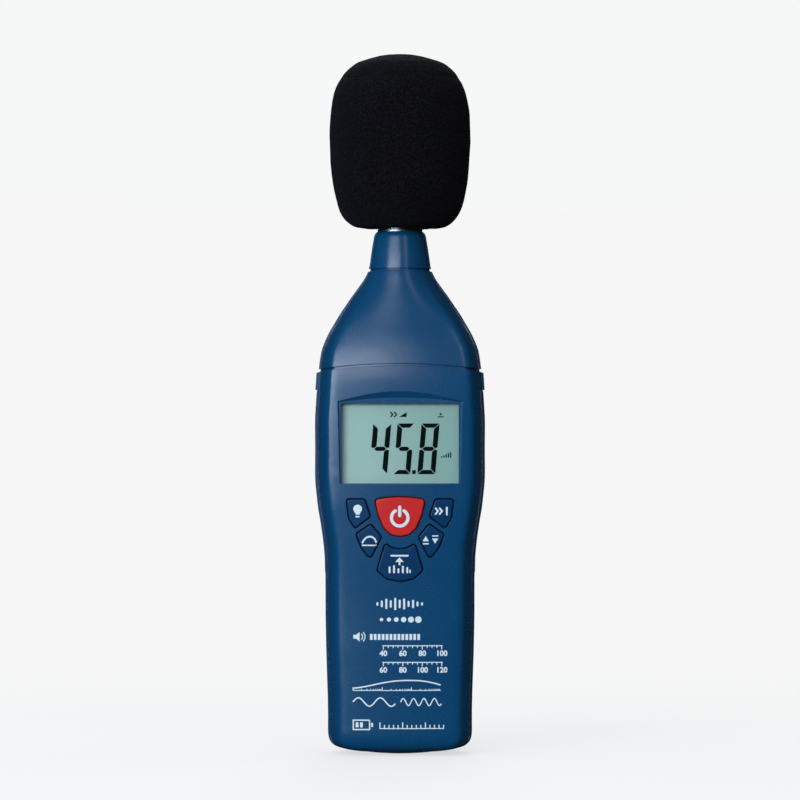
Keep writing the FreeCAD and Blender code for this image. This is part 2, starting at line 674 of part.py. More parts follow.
lug_boxes = []
for sgn, side in ((-1, "left"), (1, "right")):
    a, c = (-30.0, -21.0) if sgn < 0 else (21.0, 30.0)
    grip_boxes.append(block("grip_recess_" + side, a, c, 0.75, 9.1, D("grip_low") - 0.05, D("grip_high") + 0.05))
    lug_boxes.append(block("lug_" + side, a, c, 0.02, 7.5, D("lug_low"), D("lug_high")))
grip_tool = cut("grip_recess", fuse("grip_recess_boxes", grip_boxes), grip_seat)
lugs_outer = common("lugs_outer", fuse("lug_boxes", lug_boxes), lug_form)
lugs = cut("lugs", lugs_outer, rear_seam_core)
rear_inner = common("rear_inner", fuse("rear_inner_parts", rear_posts), rear_seam_core)
rear_body = fuse("rear_body", [rear_skin, bay, bay_front, insert_post, rear_neck, lugs, rear_inner])
rear_tools = [flat_cut, bay_cut, door_cut, groove_cut, lead_notch, label_cut, insert_hole,
              grip_tool, rear_seams, fuse("rear_small_holes", [trim_hole] + rear_holes)]
rear_shell = rear_body
for i, tool in enumerate(rear_tools):
    rear_shell = cut("rear_shell" if i == len(rear_tools) - 1 else "rear_stage_%d" % i, rear_shell, tool)

# Side grips: ribbed strips let into the rear half.
grips = {}
for sgn, side in ((-1, "left"), (1, "right")):
    a, c = (-30.0, -21.0) if sgn < 0 else (21.0, 30.0)
    strip = common("grip_strip_" + side, block("grip_box_" + side, a, c, 0.85, 9.0, D("grip_low"), D("grip_high")), grip_form)
    name = "grip_" + side
    grips[name] = cut(name, strip, grip_core)
    grips[name].Label = name

# Battery door: plate with side tongues, its outer face part of the case form.
door_plate = fuse("door_plate", [
    block("door_main", -D("door_half"), D("door_half"), D("door_inner"), D("door_outer"), 0.4, D("door_high")),
    block("door_tongues", -D("door_tongue"), D("door_tongue"), D("door_inner"), D("door_inner") + 0.85, 3.0, 54.8)])
door_form = feature("door_form", half(False, inset=0.04))
door_shaped = common("door_shaped", door_plate, door_form)
ridges = fuse("door_ridges", [block("door_ridge_%d" % i, -6.0 + 0.9 * abs(i - 2), 6.0 - 0.9 * abs(i - 2), D("door_outer") - 0.5, 18.0, 44.0 + 2.1 * i, 45.1 + 2.1 * i) for i in range(5)])
battery_door = cut("battery_door", door_shaped, ridges)

# ---------------------------------------------------------------- microphone
b = body("mic_tube")
sk = sketch(b, "XZ_Plane")
ri = D("tube_radius") - D("tube_wall")
poly(sk, [(ri, D("tube_foot")), (D("tube_flange"), D("tube_foot")), (D("tube_flange"), 152.3), (D("tube_radius"), 152.3),
          (D("tube_radius"), D("tube_top")), (ri, D("tube_top"))])
turn(b, sk)
soften(b, 0.25, lambda e: isinstance(e.Curve, Part.Circle) and abs(e.BoundBox.ZMin - num(D("tube_top"))) < 1e-4, "Chamfer")
mic_tube = b

b = body("mic_collar_ring")
sk = sketch(b, "XZ_Plane")
poly(sk, [(D("tube_radius") + 0.05, D("case_top")), (D("ring_radius"), D("case_top")), (D("ring_radius"), D("case_top") + D("ring_height") - 0.25),
          (D("ring_radius") - 0.25, D("case_top") + D("ring_height")), (D("tube_radius") + 0.05, D("case_top") + D("ring_height"))])
turn(b, sk)

b = body("mic_grid")
sk = sketch(b, "XZ_Plane")
z0 = D("tube_top") + 0.05
poly(sk, [(4.95, z0), (D("tube_radius"), z0), (D("tube_radius"), D("grid_top") - 0.6), (D("tube_radius") - 0.6, D("grid_top")),
          (0.0, D("grid_top")), (0.0, D("grid_top") - 0.8), (4.95, D("grid_top") - 0.8)])
turn(b, sk)
sk = sketch(b, "XY_Plane", D("grid_top") + 0.5)
poly(sk, [(-0.35, 1.6), (0.35, 1.6), (0.35, 4.6), (-0.35, 4.6)])
p = pocket(b, sk, 3.0)
pp = b.newObject("PartDesign::PolarPattern", "mic_grid_pattern")
pp.Originals = [p]
pp.Axis = (sk, ["N_Axis"])
pp.Angle = 360
pp.Occurrences = 10
b.Tip = pp
doc.recompute()

b = body("mic_capsule")
sk = sketch(b, "XZ_Plane")
poly(sk, [(0.0, 198.4), (4.75, 198.4), (4.75, 207.3), (4.2, 207.3), (4.2, 207.0), (0.0, 207.0)])
turn(b, sk)

b = body("mic_insulator")
sk = sketch(b, "XZ_Plane")
poly(sk, [(4.8, 199.0), (5.75, 199.0), (5.75, 203.0), (4.8, 203.0)])
turn(b, sk)

b = body("mic_preamp_board")
sk = sketch(b, "XZ_Plane", 0.6)
rect(sk, -4.6, 4.6, 176.0, 197.8)
pad(b, sk, 1.0, back=False)
b2 = feature("mic_preamp_parts", Part.makeCompound([
    Part.makeBox(2.6, 1.2, 3.0, V(-1.3, -0.55, 188.0)), Part.makeBox(1.4, 0.8, 2.2, V(-3.4, -0.55, 181.0)),
    Part.makeBox(1.4, 0.8, 2.2, V(1.8, -0.55, 181.0)), Part.makeBox(1.4, 0.8, 2.2, V(1.8, -0.55, 193.4))]))


def wire_shape(points, r):
    curve = Part.BSplineCurve()
    curve.interpolate([V(*p) for p in points])
    path = Part.Wire([curve.toShape()])
    t = curve.tangent(curve.FirstParameter)[0]
    ring = Part.Wire([Part.makeCircle(r, V(*points[0]), t)])
    return path.makePipeShell([ring], True, True)


leads = [wire_shape([(x, -2.2, 175.0), (x, -2.2, 168.0), (x, -1.6, 158.0), (1.4 * x, -1.2, 150.0), (1.6 * x, -1.4, 145.9)], 0.45) for x in (-1.3, 0.0, 1.3)]
feature("mic_leads", Part.makeCompound(leads))

# ---------------------------------------------------------------- display
plate("lcd_window", box_pts(-20.7, 20.7, 84.8, 114.4), D("pane_front"), D("pane_front") + D("pane_thick"))
pb = D("pane_front") + D("pane_thick")


def ring_plate(name, outer, inner, front, back):
    b = body(name)
    sk = sketch(b, "XZ_Plane", -Dim.of(back))
    rect(sk, *outer)
    rect(sk, *inner)
    pad(b, sk, Dim.of(back) - Dim.of(front))
    return b


ring_plate("lcd_gasket", (-20.6, 20.6, 85.0, 114.2), (-19.2, 19.2, 86.4, 113.0), pb + 0.05, pb + 0.5)
gf = pb + 0.55
b = body("lcd_glass")
sk = sketch(b, "XZ_Plane", -(gf + D("glass_thick") / 2))
rect(sk, -20.6, 20.6, 84.9, 114.3)
pad(b, sk, D("glass_thick") / 2)
sk = sketch(b, "XZ_Plane", -(gf + D("glass_thick")))
rect(sk, -20.6, 20.6, 87.2, 114.3)
pad(b, sk, D("glass_thick") / 2)
gb = gf + D("glass_thick")
plate("lcd_reflector", box_pts(-19.6, 19.6, 87.4, 113.2), gb + 0.05, gb + 1.85)
ring_plate("lcd_bezel", (-21.0, 21.0, 83.6, 115.6), (-19.75, 19.75, 84.9, 113.4), -9.05, D("board_front") - 0.05)
feature("lcd_connectors", Part.makeCompound([Part.makeBox(17.6, num(D("board_front")) - 0.05 - (num(gf) + num(D("glass_thick")) / 2 + 0.05), 1.9,
        V(x, num(gf) + num(D("glass_thick")) / 2 + 0.05, 85.0)) for x in (-18.4, 0.8)]))

# ---------------------------------------------------------------- keypad and board
STEMS = [k[2] for k in KEYS.values()]
web_front = D("key_stem_end") + D("key_travel") + 0.05
b = body("keypad_web")
sk = sketch(b, "XZ_Plane", -(web_front + 1.4))
poly(sk, [(-8.0, 58.6), (8.0, 58.6), (15.0, 67.5), (18.6, 67.5), (18.6, 83.0), (-18.6, 83.0), (-18.6, 67.5), (-15.0, 67.5)])
pad(b, sk, 0.8)
sk = sketch(b, "XZ_Plane", -(web_front + 0.65))
for x, z in STEMS:
    circ(sk, x, z, 2.0)
pad(b, sk, 0.65)
dome = []
for x, z in STEMS:
    c = Part.makeCone(2.5, 1.6, 0.35, V(x, num(D("board_front")) - 0.02, z), V(0, -1, 0))
    dome.append(c)
feature("key_domes", Part.makeCompound(dome))

b = body("main_board")
sk = sketch(b, "XZ_Plane", -D("board_back"))
poly(sk, [(-19.6, D("board_low")), (19.6, D("board_low")), (19.6, 68.0), (21.8, 80.0), (21.8, 121.4), (10.6, 127.0), (9.0, 146.4),
          (-9.0, 146.4), (-10.6, 127.0), (-21.8, 121.4), (-21.8, 80.0), (-19.6, 68.0)])
for x, z in [(-17.4, 119.2), (17.4, 119.2), (-17.6, 64.4), (17.6, 64.4)]:
    circ(sk, x, z, 1.3)
pad(b, sk, D("board_back") - D("board_front"))

B = num(D("board_back"))


def chip(x, z, w, h, t, pins, pitch, sides="lr", lead=0.9):
    """A chip body with its legs as one fused solid."""
    s = Part.makeBox(w, t, h, V(x - w / 2, B + 0.15, z - h / 2))
    for i in range(pins):
        o = (i - (pins - 1) / 2) * pitch
        legs = []
        if "l" in sides:
            legs += [(x - w / 2 - lead, z + o - 0.15, lead + 0.2, 0.3), (x + w / 2 - 0.2, z + o - 0.15, lead + 0.2, 0.3)]
        if "t" in sides:
            legs += [(x + o - 0.15, z - h / 2 - lead, 0.3, lead + 0.2), (x + o - 0.15, z + h / 2 - 0.2, 0.3, lead + 0.2)]
        for lx, lz, lw, lh in legs:
            s = s.fuse(Part.makeBox(lw, 0.35, lh, V(lx, B + 0.02, lz)))
    return s


feature("processor_chip", chip(0.0, 92.0, 12.0, 12.0, 1.5, 12, 0.9, "lt"))
feature("analog_chips", Part.makeCompound([chip(-14.0, 108.0, 3.9, 8.7, 1.5, 7, 1.27), chip(-5.4, 113.0, 3.9, 8.7, 1.5, 7, 1.27), chip(14.5, 84.0, 3.9, 5.0, 1.5, 4, 1.27)]))
caps = []
for x, z, r, t in [(-15.5, 84.0, 3.1, 7.0), (-15.5, 92.5, 2.5, 5.5), (14.6, 96.0, 2.5, 5.5), (-15.0, 72.5, 3.1, 7.0)]:
    c = Part.makeCylinder(r, t, V(x, B + 0.02, z), V(0, 1, 0))
    c = c.makeFillet(0.4, [e for e in c.Edges if isinstance(e.Curve, Part.Circle) and e.BoundBox.YMin > B + t - 0.5])
    groove = Part.makeTorus(r + 0.25, 0.45, V(x, B + 1.3, z), V(0, 1, 0))
    caps.append(c.cut(groove))
feature("capacitors", Part.makeCompound(caps))
xt = Part.makeBox(10.6, 3.4, 4.2, V(-5.3, B + 0.02, 79.6))
xt = xt.makeFillet(1.6, [e for e in xt.Edges if abs(e.BoundBox.YMax - e.BoundBox.YMin) > 3])
feature("crystal_can", xt)
small = []
for x, z in [(-9.0, 76.0), (-6.0, 76.0), (-3.0, 76.0), (8.6, 76.0), (11.2, 76.0), (9.4, 88.0), (9.4, 91.0), (9.4, 99.5), (-9.6, 88.5), (-9.6, 91.5), (-9.6, 97.0), (-18.6, 100.0), (-18.6, 103.0), (18.4, 103.0), (18.4, 106.0), (18.4, 109.0), (15.6, 103.0), (15.6, 106.0), (3.4, 105.0), (0.6, 105.0)]:
    small.append(Part.makeBox(2.0, 0.6, 1.25, V(x - 1.0, B + 0.02, z - 0.62)))
feature("small_parts", Part.makeCompound(small))
b = body("shield_can")
sk = sketch(b, "XZ_Plane", -(D("board_back") + 4.0))
rect(sk, -8.0, 8.0, 121.5, 137.5)
pad(b, sk, 3.98)
sk = sketch(b, "XZ_Plane", -(D("board_back") + 0.02))
rect(sk, -7.7, 7.7, 121.8, 137.2)
pocket(b, sk, 3.6)
socket = Part.makeBox(7.0, 3.4, 4.0, V(-3.5, B + 0.02, 140.2)).cut(Part.makeBox(5.6, 2.4, 3.0, V(-2.8, B + 0.6, 141.6)))
socket_2 = Part.makeBox(7.0, 3.0, 4.0, V(2.6, B + 0.02, 61.0)).cut(Part.makeBox(5.6, 2.0, 3.0, V(3.3, B + 0.6, 60.4)))
feature("wire_sockets", Part.makeCompound([socket, socket_2]))

# Calibration trimmer: tall body on the board, slotted rotor behind its hole in the back.
tb = block("trim_block", D("trim_x") - 3.4, D("trim_x") + 3.4, D("board_back") + 0.02, 4.0, D("trim_z") - 3.4, D("trim_z") + 3.4)
cut("trimmer_body", tb, rod("trim_socket", D("trim_x"), D("trim_z"), 1.75, 2.2, 6.0))
b = body("trimmer_rotor")
sk = sketch(b, "XZ_Plane", -5.4)
circ(sk, 0.0, 0.0, 1.65)
pad(b, sk, 3.1)
sk = sketch(b, "XZ_Plane", -5.4)
rect(sk, -1.7, 1.7, -0.28, 0.28)
pocket(b, sk, 0.9, back=True)
b.Placement = FreeCAD.Placement(V(num(D("trim_x")), 0, num(D("trim_z"))), FreeCAD.Rotation())
b.setExpression("Placement.Base.x", D("trim_x").e)
b.setExpression("Placement.Base.z", D("trim_z").e)


# Screws: pan head, cross slot, turned about +Y with the head towards +Y.
def screw_shape(head_r, head_h, shank_r, length):
    pts = [(0, 0), (head_r * 0.72, 0), (head_r, -head_h * 0.55), (head_r, -head_h), (shank_r, -head_h), (shank_r, -length + 0.8), (0.2, -length), (0, -length)]
    face = Part.Face(Part.makePolygon([V(x, y, 0) for x, y in pts + pts[:1]]))
    s = face.revolve(V(0, 0, 0), V(0, 1, 0), 360)
    for a in (0, 90):
        t = Part.makeBox(2.2 * head_r * 0.62, 1.0, 0.5, V(-1.1 * head_r * 0.62, -0.8, -0.25))
        t.rotate(V(0, 0, 0), V(0, 1, 0), a)
        s = s.cut(t)
    return s


cs = []
for x, z, back in CASE_SCREWS:
    s = screw_shape(num(D("screw_head")), 1.7, num(D("screw_shank")), 13.2)
    s.translate(V(x, back - 6.6 + 1.75, z))
    cs.append(s)
feature("case_screws", Part.makeCompound(cs))
bs = []
for x, z in [(-17.4, 119.2), (17.4, 119.2), (-17.6, 64.4), (17.6, 64.4)]:
    s = screw_shape(2.1, 1.4, 1.0, 7.6)
    s.translate(V(x, B + 1.45, z))
    bs.append(s)
feature("board_screws", Part.makeCompound(bs))

# ---------------------------------------------------------------- power
bl, bf = D("battery_low"), D("battery_front")
b = body("battery")
sk = sketch(b, "XY_Plane", bl)
rect(sk, -D("battery_wide") / 2, D("battery_wide") / 2, bf, bf + D("battery_deep"))
pad(b, sk, D("battery_tall"))
soften(b, 2.2, lambda e: abs(e.BoundBox.ZMax - e.BoundBox.ZMin) > 40)
soften(b, 0.5, lambda e: abs(e.BoundBox.ZMax - e.BoundBox.ZMin) < 0.01)
bt = num(bl + D("battery_tall"))
ym = num(bf + D("battery_deep") / 2)
male = Part.makeCylinder(2.9, 2.0, V(-6.35, ym, bt + 0.02))
female = Part.makeCylinder(3.9, 2.0, V(6.35, ym, bt + 0.02)).cut(Part.makeCylinder(3.0, 2.5, V(6.35, ym, bt + 0.6)))
feature("battery_terminals", Part.makeCompound([male, female]))
b = body("battery_snap")
sk = sketch(b, "XY_Plane", bt + 2.2)
rect(sk, -12.8, 12.8, ym - 5.6, ym + 5.6)
pad(b, sk, 2.6)
soften(b, 2.4, lambda e: abs(e.BoundBox.ZMax - e.BoundBox.ZMin) > 2.5)
top_snap = bt + 2.2 + 2.6
lead = []
for x in (-1.6, 1.6):
    lead.append(wire_shape([(x, ym, top_snap + 0.55), (x, ym - 3.0, top_snap + 0.75), (x, -0.8, top_snap + 1.2), (x * 0.9, -0.7, 59.0), (x * 0.8 + 2.4, -0.4, 64.0), (x * 0.8 + 6.1, -0.4, 65.6)][:4] + [(x * 0.6 + 4.2, -0.5, 60.2)], 0.55) if False else
                wire_shape([(x, ym, top_snap + 0.6), (x, ym - 2.5, top_snap + 0.8), (x, 0.6, top_snap + 1.0), (x, -0.6, 57.6), (x, -0.6, 59.6), (x + 3.4, -1.4, 67.2), (x + 6.0, -1.4, 68.2)][:5], 0.5))
feature("battery_leads", Part.makeCompound(lead))
block("battery_pad", -10.0, 10.0, bf + 1.4, bf + D("battery_deep") - 1.4, 3.45, bl - 0.05)

# ---------------------------------------------------------------- tripod insert and label
b = body("tripod_insert")
sk = sketch(b, "YZ_Plane")
y1 = D("rear_flat")
poly(sk, [(y1 - D("insert_depth") + 0.05, D("insert_bore")), (y1 - D("insert_depth") + 0.05, D("insert_radius")), (y1 - 5.0, D("insert_radius")),
          (y1 - 4.6, D("insert_radius") - 0.4), (y1 - 3.4, D("insert_radius") - 0.4), (y1 - 3.0, D("insert_radius")), (y1 - 0.05, D("insert_radius")), (y1 - 0.05, D("insert_bore") + 0.5), (y1 - 0.55, D("insert_bore"))])
turn(b, sk, "H_Axis")
b.Placement = FreeCAD.Placement(V(0, 0, num(D("insert_height"))), FreeCAD.Rotation())
b.setExpression("Placement.Base.z", D("insert_height").e)

b = plate("rear_label", box_pts(-15.0, 15.0, 81.0, 102.0), D("rear_flat") - 0.33, D("rear_flat") - 0.03)

# ---------------------------------------------------------------- windscreen
FOAM = [(1.0, 0.0), (0.9875, 0.313), (0.9536, 0.586), (0.9215, 0.709), (0.8893, 0.789), (0.8554, 0.841), (0.8232, 0.89),
        (0.7571, 0.948), (0.6589, 0.988), (0.56, 1.0), (0.4964, 0.999), (0.43, 0.992), (0.3643, 0.983), (0.3, 0.968), (0.232, 0.945),
        (0.168, 0.912), (0.1, 0.858), (0.048, 0.775), (0.0125, 0.66), (0.0, 0.53)]
fl, fh, fr = num(D("foam_low")), num(D("foam_high")), num(D("foam_radius"))
b = body("windscreen")
sk = sketch(b, "XZ_Plane")
curve = Part.BSplineCurve()
curve.interpolate(Points=[V(q * fr, fl + p * (fh - fl), 0) for p, q in FOAM], InitialTangent=V(1, 0, 0), FinalTangent=V(-1, 0, 0))
sk.addGeometry(curve, False)
bore, btop = num(D("foam_bore")), num(D("foam_bore_top"))
ends = [V(0.53 * fr, fl, 0), V(bore, fl, 0), V(bore, btop - 0.6, 0), V(bore - 0.6, btop, 0), V(0, btop, 0), V(0, fh, 0)]
for p, q in zip(ends, ends[1:]):
    sk.addGeometry(Part.LineSegment(p, q), False)
turn(b, sk)

# ---------------------------------------------------------------- check and write
NODES = ["windscreen", "mic_collar_ring", "mic_tube", "mic_grid", "mic_capsule", "mic_insulator", "mic_preamp_board", "mic_preamp_parts",
         "mic_leads", "front_shell", "rear_shell", "grip_left", "grip_right", "lcd_window", "lcd_gasket", "lcd_glass", "lcd_reflector",
         "lcd_bezel", "lcd_connectors", "power_key", "backlight_key", "response_key", "weighting_key", "range_key", "max_hold_key",
         "keypad_web", "key_domes", "main_board", "processor_chip", "analog_chips", "capacitors", "crystal_can", "small_parts",
         "shield_can", "wire_sockets", "trimmer_body", "trimmer_rotor", "board_screws", "case_screws", "battery", "battery_terminals",
         "battery_snap", "battery_leads", "battery_pad", "battery_door", "tripod_insert", "rear_label"]
doc.recompute()
bad = [o.Name + str(o.State) for o in doc.Objects if "Invalid" in o.State or "Error" in o.State]
if bad:
    raise RuntimeError("failed objects: %s" % bad)
found = {}
for o in doc.Objects:
    if o.Label in NODES and hasattr(o, "Shape"):
        found[o.Label] = o
for name in NODES:
    if name not in found:
        raise RuntimeError("no object for " + name)
    shape = found[name].Shape
    if shape.isNull() or not shape.isValid() or not shape.Solids:
        raise RuntimeError("bad shape: " + name)
for name, side in (("front_shell", -1), ("rear_shell", 1)):
    for z in (154.0, 160.0, 167.0):
        if found[name].Shape.isInside(V(0, side * 5.0, z), 1e-4, True):
            raise RuntimeError("the neck bore is blocked in " + name)
for name in NODES:
    shape = found[name].Shape
    out = Part.makeCompound(shape.Solids) if len(shape.Solids) > 1 else shape.Solids[0]
    out.exportStep("parts/%s.step" % name)
    print("%-20s solids %2d  volume %9.1f  box %s" % (name, len(shape.Solids), shape.Volume, " ".join("%.1f" % q for q in (
        shape.BoundBox.XMin, shape.BoundBox.XMax, shape.BoundBox.YMin, shape.BoundBox.YMax, shape.BoundBox.ZMin, shape.BoundBox.ZMax))))
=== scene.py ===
# A hand-held sound level meter with a foam windscreen, standing upright on a pale floor.
# Z is up, the front faces -Y and its left side, seen from the front, is -X.
# The frame is in metres; shapes and textures are laid out in millimetres.
import math
from bisect import bisect_right

import bmesh
import bpy
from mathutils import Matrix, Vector, noise
from mathutils.bvhtree import BVHTree
from mathutils.geometry import tessellate_polygon

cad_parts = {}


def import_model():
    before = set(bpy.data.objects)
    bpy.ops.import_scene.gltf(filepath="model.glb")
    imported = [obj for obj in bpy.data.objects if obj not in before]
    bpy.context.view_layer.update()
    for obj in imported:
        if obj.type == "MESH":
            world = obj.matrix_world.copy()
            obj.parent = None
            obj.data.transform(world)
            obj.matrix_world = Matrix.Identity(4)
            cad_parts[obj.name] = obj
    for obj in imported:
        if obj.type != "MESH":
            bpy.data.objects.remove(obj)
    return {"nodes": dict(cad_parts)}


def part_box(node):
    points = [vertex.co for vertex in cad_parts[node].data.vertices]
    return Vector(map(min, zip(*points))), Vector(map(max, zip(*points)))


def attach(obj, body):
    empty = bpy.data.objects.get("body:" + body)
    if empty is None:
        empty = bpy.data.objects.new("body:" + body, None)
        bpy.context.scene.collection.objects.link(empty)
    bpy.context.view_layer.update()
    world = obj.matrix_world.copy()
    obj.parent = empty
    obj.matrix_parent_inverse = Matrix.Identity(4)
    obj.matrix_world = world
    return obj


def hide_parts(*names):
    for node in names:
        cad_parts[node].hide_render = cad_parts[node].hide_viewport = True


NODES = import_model()["nodes"]
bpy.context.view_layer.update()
MM = 0.001


# ------------------------------------------------------------------ shader nodes
def srgb(*channels):
    """Linear colour of 0-255 channels."""
    shares = [c / 255.0 for c in channels]
    return tuple(c / 12.92 if c <= 0.04045 else ((c + 0.055) / 1.055) ** 2.4
                 for c in shares) + (1.0,)


def shade(color, by):
    return tuple(min(1.0, c * by) for c in color[:3]) + (1.0,)


class Look:
    """A material's node tree, with object coordinates in millimetres."""

    def __init__(self, name):
        self.material = bpy.data.materials.new(name)
        self.material.use_nodes = True
        self.tree = self.material.node_tree
        self.tree.nodes.clear()
        self.output = self.add("ShaderNodeOutputMaterial")
        coord = self.add("ShaderNodeTexCoord")
        self.mm = self.mapped(coord.outputs["Object"], Scale=(1000.0, 1000.0, 1000.0))

    def add(self, kind, inputs=(), **settings):
        node = self.tree.nodes.new(kind)
        for key, value in settings.items():
            setattr(node, key, value)
        for key, value in dict(inputs).items():
            self.put(value, node, key)
        return node

    def put(self, value, node, key):
        """Feeds an input from a socket or with a plain value."""
        if hasattr(value, "links"):
            self.tree.links.new(value, node.inputs[key])
        else:
            node.inputs[key].default_value = value

    def mapped(self, vector, **inputs):
        return self.add("ShaderNodeMapping", {**inputs, "Vector": vector}).outputs["Vector"]

    def xyz(self):
        return self.add("ShaderNodeSeparateXYZ", {"Vector": self.mm}).outputs

    def noise(self, per_mm, detail=3.0, rough=0.55, stretch=None):
        vector = self.mapped(self.mm, Scale=stretch) if stretch else self.mm
        return self.add("ShaderNodeTexNoise", {
            "Scale": per_mm, "Detail": detail, "Roughness": rough,
            "Vector": vector}).outputs["Fac"]

    def cells(self, per_mm, vector=None):
        return self.add("ShaderNodeTexVoronoi", {
            "Scale": per_mm, "Vector": vector or self.mm}).outputs["Distance"]

    def ramp(self, value, over=(0.3, 0.7), to=(0.0, 1.0)):
        return self.add("ShaderNodeMapRange", {
            "Value": value, "From Min": over[0], "From Max": over[1],
            "To Min": to[0], "To Max": to[1]}).outputs["Result"]

    def math(self, operation, a, b):
        return self.add("ShaderNodeMath", {0: a, 1: b}, operation=operation).outputs[0]

    def mix(self, amount, a, b):
        return self.add("ShaderNodeMix", {0: amount, 6: a, 7: b}, data_type="RGBA").outputs[2]

    def bump(self, height, depth_mm, strength=1.0, normal=None):
        inputs = {"Strength": strength, "Distance": depth_mm * MM, "Height": height}
        if normal is not None:
            inputs["Normal"] = normal
        return self.add("ShaderNodeBump", inputs).outputs["Normal"]

    def bevel(self, radius_mm):
        inputs = {"Radius": radius_mm * MM}
        return self.add("ShaderNodeBevel", inputs, samples=4).outputs["Normal"]

    def edge(self, radius_mm):
        """0 on flat parts, rising to 1 at edges."""
        rounded = self.bevel(radius_mm)
        flat = self.add("ShaderNodeNewGeometry").outputs["Normal"]
        match = self.add("ShaderNodeVectorMath", {0: rounded, 1: flat}, operation="DOT_PRODUCT")
        return self.ramp(match.outputs["Value"], over=(0.93, 0.72))

    def finish(self, **inputs):
        """Ends in a principled surface; underscores stand for spaces in input names."""
        named = {key.replace("_", " "): value for key, value in inputs.items()}
        surface = self.add("ShaderNodeBsdfPrincipled", named)
        self.put(surface.outputs["BSDF"], self.output, "Surface")
        return self.material


# ------------------------------------------------------------------ materials
def plastic(name, color, rough=0.4, vary=0.05, grain_per_mm=2.6, grain_mm=0.006,
            smudge=0.02, edge=0.25, round_mm=0.18, specular=0.5):
    """Moulded plastic: spark-eroded grain, faint handling marks in the gloss, paler worn edges."""
    look = Look(name)
    broad = look.noise(per_mm=0.05, detail=2.0)
    fine = look.noise(per_mm=grain_per_mm, detail=4.0, rough=0.6)
    smear = look.noise(per_mm=0.10, rough=0.5)
    base = look.mix(look.ramp(broad), shade(color, by=1.0 - vary), shade(color, by=1.0 + vary))
    base = look.mix(look.ramp(fine, over=(0.35, 0.7), to=(0.0, 0.08)), base, shade(color, by=1.2))
    if edge > 0:
        edges = look.edge(radius_mm=0.3)
        patches = look.ramp(look.noise(per_mm=0.7, detail=5.0), over=(0.42, 0.68), to=(0.0, edge))
        worn = tuple(0.7 * c + 0.10 for c in color[:3]) + (1.0,)
        base = look.mix(look.math("MULTIPLY", edges, patches), base, worn)
    gloss = look.ramp(smear, over=(0.3, 0.72), to=(rough - smudge, rough + smudge))
    return look.finish(
        Base_Color=base, Specular_IOR_Level=specular,
        Roughness=look.math("ADD", gloss, look.ramp(fine, to=(-0.02, 0.03))),
        Normal=look.bump(fine, depth_mm=grain_mm, normal=look.bevel(round_mm)))


def rubber(name, color, rough=0.75, round_mm=0.15):
    """Matt rubber with pale dust."""
    look = Look(name)
    fine = look.noise(per_mm=5.0)
    dust = look.noise(per_mm=0.6, detail=6.0, rough=0.7)
    return look.finish(
        Base_Color=look.mix(look.ramp(dust, over=(0.5, 0.75), to=(0.0, 0.35)),
                            color, shade(color, by=2.2)),
        Roughness=look.ramp(fine, to=(rough - 0.08, rough + 0.08)), Specular_IOR_Level=0.35,
        Normal=look.bump(fine, depth_mm=0.012, normal=look.bevel(round_mm)))


def metal(name, color, rough, stretch=(1.0, 1.0, 1.0), per_mm=3.0, tarnish=0.12, marks_mm=0.002):
    """Turned or rolled metal: fine machining lines along one way, soft tarnish."""
    look = Look(name)
    lines = look.noise(per_mm, detail=5.0, rough=0.65, stretch=stretch)
    stain = look.noise(per_mm=0.35, detail=4.0)
    return look.finish(
        Base_Color=look.mix(look.ramp(stain, over=(0.35, 0.75)),
                            color, shade(color, by=1.0 - tarnish * 2.0)),
        Metallic=1.0, Roughness=look.ramp(lines, over=(0.25, 0.75), to=(rough - 0.07, rough + 0.09)),
        Normal=look.bump(lines, depth_mm=marks_mm, normal=look.bevel(radius_mm=0.1)))


def board(name):
    """Green solder mask over copper tracks and pads."""
    look = Look(name)
    facing = look.mapped(look.mm, Rotation=(math.radians(90), 0, 0))
    tracks = look.add("ShaderNodeTexBrick", {
        "Scale": 0.42, "Mortar Size": 0.055, "Mortar Smooth": 0.15, "Vector": facing},
        offset=0.37, squash=0.7, squash_frequency=3).outputs["Fac"]
    pads = look.ramp(look.cells(per_mm=0.30, vector=facing), over=(0.10, 0.13), to=(1.0, 0.0))
    mask = look.mix(tracks, srgb(10, 74, 44), srgb(38, 122, 70))
    base = look.mix(pads, mask, srgb(186, 178, 150))
    fine = look.noise(per_mm=6.0)
    relief = look.math("ADD", tracks, look.math("MULTIPLY", pads, 0.6))
    return look.finish(
        Base_Color=base, Metallic=look.math("MULTIPLY", pads, 0.8), Coat_Weight=0.3,
        Roughness=look.ramp(fine, to=(0.28, 0.42)), Normal=look.bump(relief, depth_mm=0.02))


def chips(name, color):
    """Speckled bodies, with bright metal pins wherever y is below -3.6 mm."""
    look = Look(name)
    fine = look.noise(per_mm=8.0, detail=4.0, rough=0.7)
    pins = look.ramp(look.xyz()["Y"], over=(-3.64, -3.60), to=(1.0, 0.0))
    body = look.mix(look.ramp(fine, over=(0.4, 0.7), to=(0.0, 0.5)), color, shade(color, by=1.9))
    return look.finish(
        Base_Color=look.mix(pins, body, srgb(190, 190, 186)),
        Metallic=look.math("MULTIPLY", pins, 0.95), Roughness=look.ramp(fine, to=(0.42, 0.6)),
        Normal=look.bump(fine, depth_mm=0.01, normal=look.bevel(radius_mm=0.08)))


